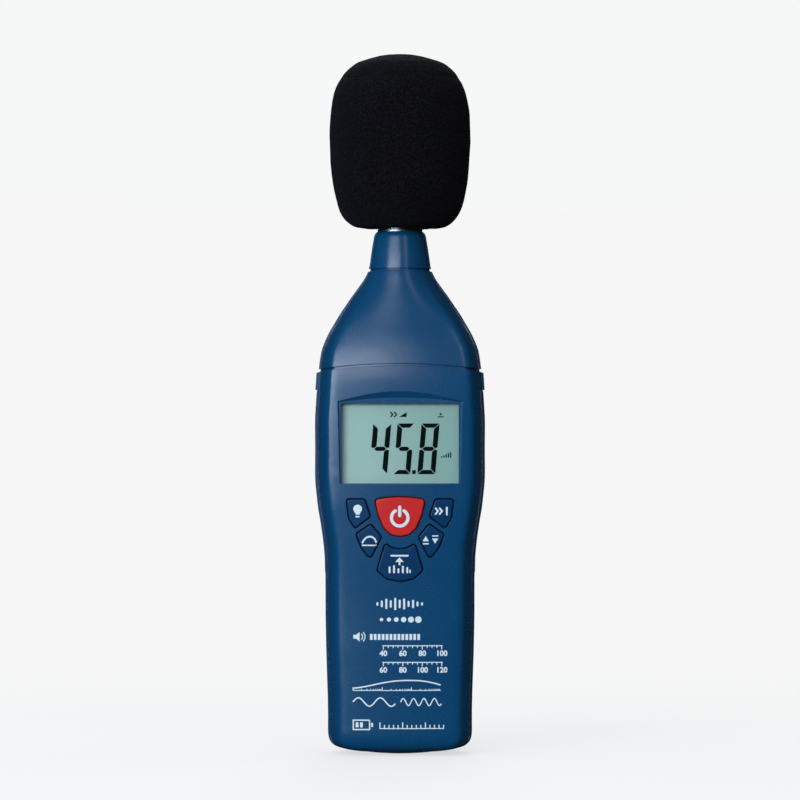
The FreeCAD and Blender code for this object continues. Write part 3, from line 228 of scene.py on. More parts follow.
def foam(name, color, per_mm=1.5, light=2.6):
    """Open-cell foam: painted shade in the cell mouths and painted light on the fine struts between
    them.
    """
    look = Look(name)
    cell = look.cells(per_mm)
    small = look.cells(per_mm * 2.3)
    tone = look.noise(per_mm=0.08)
    # painted shade in the cell pits and painted light on the struts around them
    strut_light_pit_shade = look.math("MULTIPLY", look.ramp(cell, over=(0.15, 0.75)),
                      look.ramp(small, over=(0.1, 0.7), to=(0.4, 1.0)))
    base = look.mix(strut_light_pit_shade, shade(color, by=0.35), shade(color, by=light))
    base = look.mix(look.ramp(tone, over=(0.35, 0.7), to=(0.0, 0.35)), base, shade(color, by=0.8))
    relief = look.math("ADD", cell, look.math("MULTIPLY", small, 0.4))
    return look.finish(
        Base_Color=base, Roughness=0.97, Specular_IOR_Level=0.06, Sheen_Weight=0.025,
        Sheen_Roughness=0.6, Sheen_Tint=(0.55, 0.58, 0.68, 1.0),
        Normal=look.bump(relief, depth_mm=0.22, strength=0.9))


def ink(name, color, rough=0.5, specular=0.4):
    """Pad print: slightly uneven cover."""
    look = Look(name)
    fine = look.noise(per_mm=4.5)
    return look.finish(
        Base_Color=look.mix(look.ramp(fine, over=(0.35, 0.75), to=(0.0, 0.5)),
                            color, shade(color, by=0.82)),
        Roughness=look.ramp(fine, to=(rough - 0.06, rough + 0.08)), Specular_IOR_Level=specular,
        Normal=look.bump(fine, depth_mm=0.004))


def display_cell(name):
    """Reflective liquid crystal cell: pale grey green, with painted light making it paler on its
    left and painted shadow from the recess wall making it darker at the top.
    """
    look = Look(name)
    place = look.xyz()
    # painted light: the cell grows paler towards the left, where the light comes from
    side = look.ramp(place["X"], over=(-19.0, 19.0))
    base = look.mix(side, srgb(191, 220, 213), srgb(159, 197, 187))
    # painted shadow: the cell grows darker towards the top, under the recess's upper wall
    height = look.ramp(place["Z"], over=(86.0, 114.0), to=(0.0, 0.14))
    base = look.mix(height, base, srgb(132, 176, 166))
    fine = look.noise(per_mm=9.0)
    base = look.mix(look.ramp(fine, over=(0.35, 0.7), to=(0.0, 0.16)), base, srgb(200, 226, 218))
    return look.finish(Base_Color=base, Roughness=look.ramp(fine, to=(0.42, 0.52)),
                       Specular_IOR_Level=0.3, Normal=look.bump(fine, depth_mm=0.002))


def window(name):
    """Clear moulded window: lets light through, with a surface gloss and faint wipe marks."""
    look = Look(name)
    clear = look.add("ShaderNodeBsdfTransparent", {"Color": (0.965, 0.98, 0.975, 1.0)})
    wipe = look.noise(per_mm=0.5, detail=4.0, rough=0.6, stretch=(1.0, 1.0, 0.2))
    gloss = look.add("ShaderNodeBsdfGlossy", {"Roughness": look.ramp(wipe, to=(0.03, 0.09))})
    fresnel = look.add("ShaderNodeFresnel", {"IOR": 1.35})
    both = look.add("ShaderNodeMixShader", {
        0: fresnel.outputs["Fac"], 1: clear.outputs["BSDF"], 2: gloss.outputs["BSDF"]})
    look.put(both.outputs["Shader"], look.output, "Surface")
    return look.material


def contact_strip(name):
    """Dark and pale bands side by side along x."""
    look = Look(name)
    band = look.math("PINGPONG", look.xyz()["X"], 0.25)
    return look.finish(
        Base_Color=look.mix(look.ramp(band, over=(0.10, 0.15)),
                            srgb(24, 24, 26), srgb(176, 172, 166)),
        Roughness=look.ramp(look.noise(per_mm=3.0), to=(0.5, 0.7)),
        Normal=look.bump(band, depth_mm=0.02))


def battery_jacket(name):
    """Battery jacket: printed steel, dark body with a copper-coloured top band."""
    look = Look(name)
    top = look.ramp(look.xyz()["Z"], over=(38.9, 39.0))
    fine = look.noise(per_mm=0.4, detail=4.0)
    base = look.mix(top, srgb(30, 32, 36), srgb(186, 120, 62))
    scuffs = look.ramp(fine, over=(0.4, 0.7), to=(0.0, 0.25))
    return look.finish(
        Base_Color=look.mix(scuffs, base, srgb(80, 76, 72)),
        Metallic=look.ramp(top, over=(0.0, 1.0), to=(0.35, 0.8)),
        Roughness=look.ramp(fine, to=(0.24, 0.38)), Coat_Weight=0.4,
        Normal=look.bump(fine, depth_mm=0.02, normal=look.bevel(radius_mm=0.2)))


MATERIALS = {
    "case": plastic("case_blue_plastic", srgb(6, 70, 111), rough=0.25, vary=0.035,
                    grain_mm=0.0024, smudge=0.014, edge=0.16, round_mm=0.22, specular=0.46),
    "key_blue": plastic("key_blue_plastic", srgb(5, 56, 97), rough=0.27, grain_per_mm=3.0,
                        grain_mm=0.0026, edge=0.2, round_mm=0.15, specular=0.24),
    "key_red": plastic("key_red_plastic", srgb(208, 30, 25), rough=0.30, edge=0.2, round_mm=0.2),
    "grip": rubber("grip_rubber", srgb(20, 27, 42), rough=0.62),
    "black": plastic("black_plastic", srgb(24, 24, 26), rough=0.45, edge=0.2),
    "white": plastic("white_plastic", srgb(226, 228, 222), edge=0.0, vary=0.03),
    "trim_blue": plastic("trimmer_plastic", srgb(24, 80, 170), rough=0.35, edge=0.15),
    "ring": metal("ring_metal", srgb(150, 154, 160), rough=0.30, stretch=(0.4, 0.4, 8.0)),
    "tube": metal("tube_metal", srgb(176, 178, 182), rough=0.27, stretch=(0.5, 0.5, 7.0),
                  marks_mm=0.003),
    "capsule": metal("capsule_metal", srgb(196, 188, 160), rough=0.22, stretch=(0.5, 0.5, 6.0)),
    "tin": metal("tin_plate", srgb(192, 194, 196), rough=0.24, per_mm=0.8),
    "can": metal("can_metal", srgb(178, 182, 190), rough=0.3, stretch=(1.0, 5.0, 1.0), per_mm=2.0),
    "dome": metal("dome_metal", srgb(190, 192, 194), rough=0.2, per_mm=4.0),
    "brass": metal("brass_metal", srgb(206, 166, 84), rough=0.24, stretch=(1.0, 6.0, 1.0),
                   per_mm=2.4, tarnish=0.2),
    "zinc": metal("zinc_metal", srgb(186, 188, 184), rough=0.26, stretch=(3.0, 1.0, 3.0),
                  per_mm=2.0, tarnish=0.2),
    "board": board("circuit_board_mask"),
    "chip": chips("chip_moulding", srgb(26, 26, 28)),
    "small": chips("small_part_body", srgb(150, 138, 112)),
    "lead": rubber("lead_sheath", srgb(168, 24, 20), rough=0.4, round_mm=0.05),
    "gasket": rubber("gasket_rubber", srgb(20, 20, 22), rough=0.8, round_mm=0.1),
    "web": rubber("keypad_rubber", srgb(92, 94, 98), rough=0.7, round_mm=0.2),
    "foam": foam("windscreen_foam", srgb(10, 9, 13)),
    "pad": foam("pad_foam", srgb(96, 98, 104), per_mm=1.1, light=1.6),
    "cell": display_cell("display_cell"),
    "window": window("display_window"),
    "zebra": contact_strip("contact_strip"),
    "jacket": battery_jacket("battery_jacket_print"),
    "label": metal("label_foil", srgb(196, 199, 203), rough=0.38, stretch=(7.0, 1.0, 0.4),
                   per_mm=1.6, tarnish=0.06),
    "white_ink": ink("white_print", srgb(227, 239, 243)),
    "dark_ink": ink("dark_print", srgb(34, 38, 46)),
    "lcd_ink": ink("display_segment", srgb(2, 14, 17), specular=0.05),
}
# the frame's pieces that each material covers
PIECES = {
    "case": ["front_shell", "rear_shell", "battery_door"],
    "key_blue": ["backlight_key", "response_key", "weighting_key", "range_key", "max_hold_key"],
    "key_red": ["power_key"],
    "grip": ["grip_left", "grip_right"],
    "black": ["mic_insulator", "lcd_bezel", "battery_snap"],
    "white": ["lcd_reflector", "wire_sockets"],
    "trim_blue": ["trimmer_body"],
    "ring": ["mic_collar_ring"],
    "tube": ["mic_tube", "mic_grid"],
    "capsule": ["mic_capsule"],
    "tin": ["shield_can", "crystal_can", "battery_terminals"],
    "can": ["capacitors"],
    "dome": ["key_domes"],
    "brass": ["trimmer_rotor", "tripod_insert"],
    "zinc": ["board_screws", "case_screws"],
    "board": ["main_board", "mic_preamp_board"],
    "chip": ["processor_chip", "analog_chips", "mic_preamp_parts"],
    "small": ["small_parts"],
    "lead": ["mic_leads", "battery_leads"],
    "gasket": ["lcd_gasket"],
    "web": ["keypad_web"],
    "foam": ["windscreen"],
    "pad": ["battery_pad"],
    "cell": ["lcd_glass"],
    "window": ["lcd_window"],
    "zebra": ["lcd_connectors"],
    "jacket": ["battery"],
    "label": ["rear_label"],
}
for key, names in PIECES.items():
    for name in names:
        for slot in NODES[name].material_slots:
            slot.material = MATERIALS[key]
missing = sorted(set(NODES) - {name for names in PIECES.values() for name in names})
if missing:
    raise RuntimeError("no material for %s" % missing)


# ------------------------------------------------------------------ meshes
def surface_of(name):
    mesh = NODES[name].data
    return BVHTree.FromPolygons([v.co for v in mesh.vertices],
                                [list(p.vertices) for p in mesh.polygons])


def new_object(name, verts, faces, material, smooth=True):
    mesh = bpy.data.meshes.new(name)
    mesh.from_pydata(verts, [], faces)
    mesh.validate()
    bm = bmesh.new()
    bm.from_mesh(mesh)
    bmesh.ops.recalc_face_normals(bm, faces=bm.faces)
    bm.to_mesh(mesh)
    bm.free()
    mesh.polygons.foreach_set("use_smooth", [smooth] * len(mesh.polygons))
    mesh.materials.append(MATERIALS[material])
    ob = bpy.data.objects.new(name, mesh)
    bpy.context.scene.collection.objects.link(ob)
    return ob


def grid_solid(name, outer, inner, material):
    """Closed solid between two matching grids of points."""
    rows, cols = len(outer), len(outer[0])
    verts = [p for row in outer + inner for p in row]
    under = rows * cols
    faces = []
    for i in range(rows - 1):
        for j in range(cols - 1):
            quad = (i * cols + j, i * cols + j + 1, (i + 1) * cols + j + 1, (i + 1) * cols + j)
            faces.append(quad)
            faces.append(tuple(under + corner for corner in reversed(quad)))
    last = (rows - 1) * cols
    rim = list(range(cols)) + [i * cols + cols - 1 for i in range(1, rows)]
    rim += [last + j for j in range(cols - 2, -1, -1)] + [i * cols for i in range(rows - 2, 0, -1)]
    faces += [(a, b, under + b, under + a) for a, b in zip(rim, rim[1:] + rim[:1])]
    return new_object(name, verts, faces, material)


# ------------------------------------------------------------------ flat shapes
# Each shape is (verts, faces), in millimetres in the x-z plane. Sizes are x, z pairs.
def sheet(*loops):
    """An outline, with holes if more loops are given."""
    tris = tessellate_polygon([[Vector((x, z, 0.0)) for x, z in loop] for loop in loops])
    return [(x, 0.0, z) for loop in loops for x, z in loop], [tuple(t) for t in tris]


def poly(*points):
    return sheet(points)


def corners(x0, z0, x1, z1):
    return [(x0, z0), (x1, z0), (x1, z1), (x0, z1)]


def around(x, z, radius, angle):
    return x + radius * math.cos(angle), z + radius * math.sin(angle)


def circle(x, z, radius, count):
    return [around(x, z, radius, 2 * math.pi * i / count) for i in range(count)]


def arc(x, z, radius, width, start, end, steps=30):
    """Part of a ring with rounded ends, angles in degrees."""
    start, end = math.radians(start), math.radians(end)

    def side(r, order):
        return [around(x, z, r, start + (end - start) * i / steps) for i in order]

    def cap(angle, turn):
        middle = around(x, z, radius, angle)
        return [around(*middle, width / 2, angle + turn + math.pi * k / 6) for k in range(1, 6)]
    return sheet(side(radius + width / 2, range(steps + 1)) + cap(end, 0.0)
                 + side(radius - width / 2, range(steps, -1, -1)) + cap(start, math.pi))


def bar(x0, z0, x1, z1, width):
    """A straight line with rounded ends."""
    along = math.atan2(z1 - z0, x1 - x0)
    turns = [math.pi * k / 8 for k in range(9)]
    return sheet([around(x0, z0, width / 2, along + math.pi / 2 + turn) for turn in turns]
                 + [around(x1, z1, width / 2, along - math.pi / 2 + turn) for turn in turns])


def strip(x0, z0, x1, z1, width):
    """A straight line with square ends."""
    along = math.atan2(z1 - z0, x1 - x0)
    dx, dz = -math.sin(along) * (width / 2), math.cos(along) * (width / 2)
    return poly((x0 + dx, z0 + dz), (x0 - dx, z0 - dz), (x1 - dx, z1 - dz), (x1 + dx, z1 + dz))


def stroke(points, width):
    """A bent stroke of even width."""
    left, right = [], []
    last = len(points) - 1
    for i, (x, z) in enumerate(points):
        back, ahead = points[max(0, i - 1)], points[min(last, i + 1)]
        length = math.hypot(ahead[0] - back[0], ahead[1] - back[1])
        nx, nz = -(ahead[1] - back[1]) / length, (ahead[0] - back[0]) / length
        miter = 1.0
        if 0 < i < last:
            come = Vector((x - back[0], z - back[1])).normalized()
            go = Vector((ahead[0] - x, ahead[1] - z)).normalized()
            miter = 1.0 / max(0.5, math.sqrt((1 + come.dot(go)) / 2))
        left.append((x + nx * width / 2 * miter, z + nz * width / 2 * miter))
        right.append((x - nx * width / 2 * miter, z - nz * width / 2 * miter))
    return sheet(left + right[::-1])


def chevron(x, low, high, reach, width):
    """An arrowhead stroke, its point to the right."""
    return stroke([(x, high), (x + reach, (low + high) / 2), (x, low)], width)


def glyphs(text, x, z, height):
    """Figures centred on x, their mid height at z."""
    curve = bpy.data.curves.new("figures", "FONT")
    curve.body = text
    curve.size = height * 1.42
    curve.align_x = "CENTER"
    curve.align_y = "CENTER"
    curve.resolution_u = 4
    curve.fill_mode = "FRONT"
    curve.offset = 0.05 * height
    ob = bpy.data.objects.new("figures", curve)
    bpy.context.scene.collection.objects.link(ob)
    bpy.context.view_layer.update()
    graph = bpy.context.evaluated_depsgraph_get()
    mesh = bpy.data.meshes.new_from_object(ob.evaluated_get(graph))
    verts = [(v.co.x + x, 0.0, v.co.y + z) for v in mesh.vertices]
    faces = [tuple(p.vertices) for p in mesh.polygons]
    bpy.data.objects.remove(ob)
    bpy.data.curves.remove(curve)
    bpy.data.meshes.remove(mesh)
    return verts, faces


# ------------------------------------------------------------------ printing
def joined(shapes):
    bm = bmesh.new()
    for verts, faces in shapes:
        made = [bm.verts.new(v) for v in verts]
        for face in faces:
            # leaves out a face that is there already or uses a corner twice
            try:
                bm.faces.new([made[i] for i in face])
            except ValueError:
                pass
    bmesh.ops.remove_doubles(bm, verts=bm.verts, dist=1e-4)
    bmesh.ops.dissolve_degenerate(bm, edges=bm.edges, dist=1e-4)
    return bm


def cut_up(bm, step):
    """Cuts at every step along x and z, so that the shapes can bend."""
    xs = [v.co.x for v in bm.verts]
    zs = [v.co.z for v in bm.verts]
    for axis, low, high in (((1, 0, 0), min(xs), max(xs)), ((0, 0, 1), min(zs), max(zs))):
        i = math.floor(low / step) + 1
        while i * step < high:
            bmesh.ops.bisect_plane(bm, geom=bm.verts[:] + bm.edges[:] + bm.faces[:], dist=1e-5,
                                   plane_co=Vector(axis) * (i * step), plane_no=axis)
            i += 1


def print_on(name, shapes, body, material, surface=None, flat_y=None, step=None,
             lift=0.03, sink=0.04, front=True):
    """Lays shapes as a thin closed layer on a surface, or on the plane y = flat_y."""
    bm = joined(shapes)
    if flat_y is None:
        cut_up(bm, step)
    inward = 1.0 if front else -1.0
    raised, sunk = {}, {}
    bm.verts.ensure_lookup_table()
    for v in bm.verts:
        y = flat_y
        if flat_y is None:
            start = Vector((v.co.x * MM, -0.06 * inward, v.co.z * MM))
            hit = surface.ray_cast(start, Vector((0, inward, 0)))[0]
            if hit is None:
                raise RuntimeError("%s misses at %.2f, %.2f" % (name, v.co.x, v.co.z))
            y = hit.y / MM
        raised[v.index] = (v.co.x * MM, (y - inward * lift) * MM, v.co.z * MM)
        sunk[v.index] = (v.co.x * MM, (y + inward * sink) * MM, v.co.z * MM)
    count = len(bm.verts)
    verts = [layer[i] for layer in (raised, sunk) for i in range(count)]
    faces = []
    for face in bm.faces:
        ids = [v.index for v in face.verts]
        faces.append(ids)
        faces.append([i + count for i in reversed(ids)])
    for edge in bm.edges:
        if len(edge.link_faces) == 1:
            a, b = edge.verts[0].index, edge.verts[1].index
            faces.append([a, b, b + count, a + count])
    bm.free()
    ob = new_object(name, verts, faces, material, smooth=False)
    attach(ob, body)


# ------------------------------------------------------------------ windscreen
# height and radius of the outline as parts of the whole, from the top down
FOAM_OUTLINE = [
    (1.0, 0.0), (0.9875, 0.313), (0.9536, 0.586), (0.9215, 0.709), (0.8893, 0.789),
    (0.8554, 0.841), (0.8232, 0.89), (0.7571, 0.948), (0.6589, 0.988), (0.56, 1.0),
    (0.4964, 0.999), (0.43, 0.992), (0.3643, 0.983), (0.3, 0.968), (0.232, 0.945),
    (0.168, 0.912), (0.1, 0.858), (0.048, 0.775), (0.0125, 0.66), (0.0, 0.53)]
BORE = 6.5 + 0.12            # radius, with clearance
BORE_MOUTH = 0.5             # rounding of the bore's lower edge
BORE_CORNER = 0.6            # slope at the bore's upper end, and gap above the grid
UNDER_STEPS, BORE_STEPS, ROOF_STEPS = 14, 40, 5


def smooth_line(points, count):
    """Points spread evenly along a smooth curve through the given (radius, height) ones."""
    dense = []
    for i in range(len(points) - 1):
        p0, p1, p2, p3 = (points[min(len(points) - 1, max(0, i + k))] for k in (-1, 0, 1, 2))
        if i == 0:
            p0 = (-p2[0], p2[1])      # mirrored, so the curve crosses the axis level
        for k in range(24):
            t = k / 24.0
            dense.append(tuple(
                0.5 * ((2 * b) + (-a + c) * t + (2 * a - 5 * b + 4 * c - d) * t * t
                       + (-a + 3 * b - 3 * c + d) * t ** 3)
                for a, b, c, d in zip(p0, p1, p2, p3)))
    dense.append(points[-1])
    run = [0.0]
    for a, b in zip(dense, dense[1:]):
        run.append(run[-1] + math.hypot(b[0] - a[0], b[1] - a[1]))
    line = []
    for i in range(count):
        goal = run[-1] * i / (count - 1)
        j = min(len(run) - 2, bisect_right(run, goal) - 1)
        part = (goal - run[j]) / (run[j + 1] - run[j])
        line.append(tuple(a + (b - a) * part for a, b in zip(dense[j], dense[j + 1])))
    return line


def foam_relief(point):
    """Cell pits and soft swells, in millimetres outward."""
    large = noise.voronoi(point * 1.45, distance_metric="DISTANCE")[0][0]
    shifted = point * 2.9 + Vector((7.3, 1.9, 4.4))
    small = noise.voronoi(shifted, distance_metric="DISTANCE")[0][0]
    pit = max(0.0, 1.0 - large / 0.50)
    return (-0.30 * pit * pit - 0.10 * max(0.0, 1.0 - small / 0.5)
            + 0.16 * noise.noise(point * 0.16) + 0.05 * noise.noise(point * 0.7) - 0.02)


def windscreen():
    low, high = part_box("windscreen")
    foot, peak, radius = low.z / MM, high.z / MM, high.x / MM
    sides, rows = ((600, 265))
    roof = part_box("mic_grid")[1].z / MM + BORE_CORNER

    # outside from the top down, underside, up the bore, roof of the bore
    scaled = [(r * radius, foot + h * (peak - foot)) for h, r in FOAM_OUTLINE]
    line = smooth_line(scaled, rows)[1:]
    rim = line[-1][0]
    line += [(rim + (BORE + BORE_MOUTH - rim) * i / UNDER_STEPS, foot)
             for i in range(1, UNDER_STEPS + 1)]
    rough_rows = len(line)
    mouth = foot + BORE_MOUTH
    line += [(BORE + 0.15, foot + 0.12), (BORE, mouth)]
    line += [(BORE, mouth + (roof - BORE_CORNER - mouth) * i / BORE_STEPS)
             for i in range(1, BORE_STEPS + 1)]
    line += [((BORE - BORE_CORNER) * (1 - i / ROOF_STEPS), roof) for i in range(ROOF_STEPS)]

    verts = [(0.0, 0.0, peak * MM)]
    for i, (r, z) in enumerate(line):
        a, b = line[max(0, i - 1)], line[min(len(line) - 1, i + 1)]
        length = math.hypot(b[0] - a[0], b[1] - a[1])
        nr, nz = -(b[1] - a[1]) / length, (b[0] - a[0]) / length
        fade = min(1.0, (i + 1) / 6.0)
        for j in range(sides):
            turn = 2 * math.pi * j / sides
            cos, sin = math.cos(turn), math.sin(turn)
            h = foam_relief(Vector((r * cos, r * sin, z))) * fade if i < rough_rows else 0.0
            verts.append(((r + nr * h) * cos * MM, (r + nr * h) * sin * MM, (z + nz * h) * MM))
    ring = [(j, (j + 1) % sides) for j in range(sides)]
    faces = [(0, 1 + j, 1 + k) for j, k in ring]
    for i in range(len(line) - 1):
        upper, lower = 1 + i * sides, 1 + (i + 1) * sides
        faces += [(upper + j, lower + j, lower + k, upper + k) for j, k in ring]
    end = 1 + (len(line) - 1) * sides
    faces += [(end + j, len(verts), end + k) for j, k in ring]
    verts.append((0.0, 0.0, roof * MM))
    ob = new_object("windscreen_foam", verts, faces, "foam")
    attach(ob, "windscreen_body")
    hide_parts("windscreen")


windscreen()

# ------------------------------------------------------------------ side grips
RIB_PITCH = 2.6
GROOVE_DEPTH = 0.42
GROOVE_WIDTH = 0.16          # as a part of the pitch
RIM_DROP, RIM_WIDTH = 0.16, 0.35
BORDER_Z, BORDER_Y = 2.0, 0.9    # plain border at the ends and along the sides
GRIP_INSET = 0.02
GRIP_COLS, GRIP_ROWS = 26, 420


def grip(name, side):
    """Strip with ribs across it and a plain border; side is -1 on the left, 1 on the right."""
    surface = surface_of(name)
    low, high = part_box(name)
    y0, y1, z0, z1 = low.y / MM, high.y / MM, low.z / MM, high.z / MM
    outer, inner = [], []
    for i in range(GRIP_ROWS + 1):
        z = z0 + GRIP_INSET + (z1 - z0 - 2 * GRIP_INSET) * i / GRIP_ROWS
        outer.append([])
        inner.append([])
        for j in range(GRIP_COLS + 1):
            y = y0 + GRIP_INSET + (y1 - y0 - 2 * GRIP_INSET) * j / GRIP_COLS
            hits = [surface.ray_cast(Vector((x, y * MM, z * MM)), Vector((way, 0, 0)))[0]
                    for x, way in ((side * 0.05, -side), (0.0, side))]
            if None in hits:
                raise RuntimeError("grip misses its strip at %.2f, %.2f" % (y, z))
            edge_z = min(z - z0, z1 - z)
            edge_y = min(y - y0, y1 - y)
            ribbed = (min(1.0, max(0.0, (edge_z - BORDER_Z) / 0.5))
                      * min(1.0, max(0.0, (edge_y - BORDER_Y) / 0.4)))
            phase = ((z - z0) / RIB_PITCH) % 1.0
            groove = math.exp(-((phase - 0.5) / GROOVE_WIDTH) ** 2)
            rim = max(0.0, 1.0 - min(edge_z, edge_y) / RIM_WIDTH)
            drop = (GROOVE_DEPTH * groove * ribbed + RIM_DROP * rim * rim
                    + 0.006 * noise.noise(Vector((y, z, side)) * 4.0))
            outer[-1].append(((hits[0].x / MM - side * drop) * MM, y * MM, z * MM))
            inner[-1].append((hits[1].x, y * MM, z * MM))
    ob = grid_solid(name + "_ribbed", outer, inner, "grip")
    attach(ob, "case")
    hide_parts(name)


grip("grip_left", -1)
grip("grip_right", 1)


# ------------------------------------------------------------------ battery pad
def pad(cols=60, rows=46, edge_width=0.6, edge_drop=0.30, cell_depth=0.05):
    """Foam block, thinner at its edges, pitted above and below."""
    low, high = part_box("battery_pad")
    middle, half = (low.z + high.z) / 2, (high.z - low.z) / 2
    top, under = [], []
    for i in range(cols + 1):
        top.append([])
        under.append([])
        for j in range(rows + 1):
            u, v = i / cols, j / rows
            x, y = low.x + (high.x - low.x) * u, low.y + (high.y - low.y) * v
            edge = min(min(u, 1 - u) * (high.x - low.x) / MM,
                       min(v, 1 - v) * (high.y - low.y) / MM)
            crown = 1.0 - edge_drop * max(0.0, 1.0 - edge / edge_width) ** 2
            point = Vector((x, y, 0.0)) / MM
            near = noise.voronoi(point * 1.2, distance_metric="DISTANCE")[0][0]
            pit = cell_depth * max(0.0, 1 - near / 0.5)
            top[-1].append((x, y, middle + half * crown - pit * MM))
            under[-1].append((x, y, middle - half * crown + pit * MM))
    ob = grid_solid("battery_pad_foam", top, under, "pad")
    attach(ob, "case")
    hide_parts("battery_pad")


pad()

# ------------------------------------------------------------------ key legends
THIN, MEDIUM, THICK, HEAVY = 0.42, 0.55, 0.6, 1.02     # line widths
LEGENDS = {
    "power": [arc(-0.1, 76.0, 2.62, HEAVY, start=122, end=418),
              bar(-0.1, 76.7, -0.1, 79.4, HEAVY)],
    # a lamp bulb over a short line
    "backlight": [
        sheet([around(-13.5, 78.8, 1.38, math.radians(a)) for a in range(-50, 231, 14)]
              + [(-14.1, 77.0), (-12.9, 77.0)]),
        bar(-14.0, 76.35, -13.0, 76.35, THIN)],
    # a humped curve over a line
    "weighting": [
        stroke([(-12.1, 67.9), (-11.5, 68.9), (-10.7, 69.7), (-9.8, 70.0), (-8.9, 69.9),
                (-8.1, 69.3), (-7.5, 68.1)], MEDIUM),
        bar(-12.0, 67.2, -7.6, 67.2, THIN)],
    # two arrowheads and an upright
    "response": [chevron(x, 77.0, 79.2, reach=0.9, width=MEDIUM) for x in (11.2, 12.5)]
    + [bar(14.9, 77.0, 14.9, 79.2, THICK)],
    # triangles up and down, each with a line at its base
    "range": [
        poly((7.2, 68.5), (9.2, 68.5), (8.2, 70.2)), bar(7.4, 67.7, 9.0, 67.7, THIN),
        poly((10.2, 69.4), (12.2, 69.4), (11.2, 67.7)), bar(10.4, 70.2, 12.0, 70.2, THIN)],
    # an arrow up to a line, over a row of uprights
    "max_hold": [
        bar(-2.8, 63.9, 2.5, 63.9, MEDIUM), poly((-1.5, 61.9), (1.2, 61.9), (-0.15, 63.4)),
        strip(-0.15, 60.9, -0.15, 62.0, THICK)]
    + [bar(x, 58.6, x, top, width) for x, top, width in (
        (-3.3, 60.2, THICK), (-1.9, 60.6, THICK), (-0.5, 59.6, THICK),
        (0.9, 60.4, THICK), (2.3, 60.0, THICK), (3.2, 59.2, 0.5))],
}
for key, shapes in LEGENDS.items():
    print_on(key + "_legend", shapes, key + "_key_body", "white_ink",
             surface=surface_of(key + "_key"), step=0.5)


# ------------------------------------------------------------------ front print
def level_bars(first_x=-7.2, pitch=1.42, middle=48.5, width=0.66, trim=0.25):
    """Uprights of changing height on one middle line."""
    heights = [1.0, 2.0, 3.2, 2.2, 3.8, 2.6, 3.4, 1.8, 2.6, 1.4, 0.9]
    return [bar(first_x + pitch * i, middle - height / 2 + trim,
                first_x + pitch * i, middle + height / 2 - trim, width)
            for i, height in enumerate(heights)]


def growing_dots(first_x=-5.9, pitch=2.35, z=43.5, radius=0.55, growth=0.10):
    return [sheet(circle(first_x + pitch * i, z, radius + growth * i, 20)) for i in range(6)]


def heading(first_x=-9.6, pitch=1.26, width=0.85):
    """A loudspeaker sign and a level bar."""
    speaker = poly((-14.9, 37.4), (-14.0, 37.4), (-12.9, 36.5), (-12.9, 39.5), (-14.0, 38.6),
                   (-14.9, 38.6))
    sounds = [arc(-13.2, 38.0, radius, 0.32, start=-42, end=42, steps=steps)
              for radius, steps in ((1.25, 10), (2.05, 12))]
    cells = [sheet(corners(first_x + pitch * i, 37.0, first_x + width + pitch * i, 38.9))
             for i in range(13)]
    return [speaker] + sounds + cells


def scale(z, figures, first_x=-5.3, pitch=1.55, every=4):
    """A graduated line with a figure under every fourth mark."""
    shapes = [strip(-5.6, z + 1.25, 13.6, z + 1.25, 0.3)]
    for i in range(13):
        x = first_x + pitch * i
        shapes.append(strip(x, z + 1.1, x, z + (0.05 if i % every == 0 else 0.55), 0.28))
    for i, figure in enumerate(figures):
        shapes.append(glyphs(figure, first_x + every * pitch * i, z - 1.25, height=1.7))
    return shapes


def weighting_curve(left=-15.0, base=20.9, width=0.26, decade=9.33):
    """A curve that rises and drops off, over a logarithmic ruler."""
    def height(i):
        rise = 2.5 * math.sin(math.pi * 0.5 * min(1.0, i / 24.0)) ** 1.5
        return 21.6 + rise - 1.5 * max(0.0, (i - 27) / 13.0) ** 2
    shapes = [stroke([(left + 0.7 * i, height(i)) for i in range(41)], 0.42),
              strip(left, base, 13.0, base, width)]
    for whole in range(3):
        for k in range(1, 10):
            x = left + decade * (whole + math.log10(k))
            shapes.append(strip(x, base, x, 21.9 if k == 1 else 21.4, width))
    return shapes


def wave(left, step, count, height, rate, width):
    return stroke([(left + step * i, 17.2 + height * math.sin(i * step * rate))
                   for i in range(count)], width)


def battery_sign(line=0.4):
    """A battery outline with its cap and two level blocks."""
    return ([strip(-15.1, z, -9.5, z, line) for z in (8.4, 11.4)]
            + [strip(x, 8.2, x, 11.6, line) for x in (-14.9, -9.7)]
            + [strip(-9.2, 9.9, -8.6, 9.9, 1.3)]
            + [strip(x, 9.1, x, 10.7, 0.9) for x in (-13.7, -12.3)])


def short_ruler(first_x=-6.4, pitch=1.45):
    marks = [strip(first_x + pitch * i, 8.9, first_x + pitch * i, 10.7 if i % 5 == 0 else 9.9, 0.34)
             for i in range(15)]
    return marks + [strip(-6.55, 8.75, 14.05, 8.75, 0.3)]


front = level_bars() + growing_dots() + heading()
front += scale(33.9, ("40", "60", "80", "100")) + scale(28.6, ("60", "80", "100", "120"))
front += weighting_curve()
# slow and fast response: one slow wave, then a quick one
front.append(wave(left=-15.0, step=0.33, count=42, height=1.35, rate=0.9, width=0.42))
front.append(wave(left=0.2, step=0.16, count=82, height=1.15, rate=1.9, width=0.36))
front += battery_sign() + short_ruler()
print_on("front_print", front, "case", "white_ink",
         surface=surface_of("front_shell"), sink=0.05, step=1.1)

# ------------------------------------------------------------------ display
DIGIT_FOOT, DIGIT_HEIGHT = 89.8, 16.2
SEGMENT = 1.62               # width of an upright segment
FLAT_HALF = SEGMENT * 0.42   # half the height of a level one
SEGMENT_GAP = 0.10
SLANT = 0.085


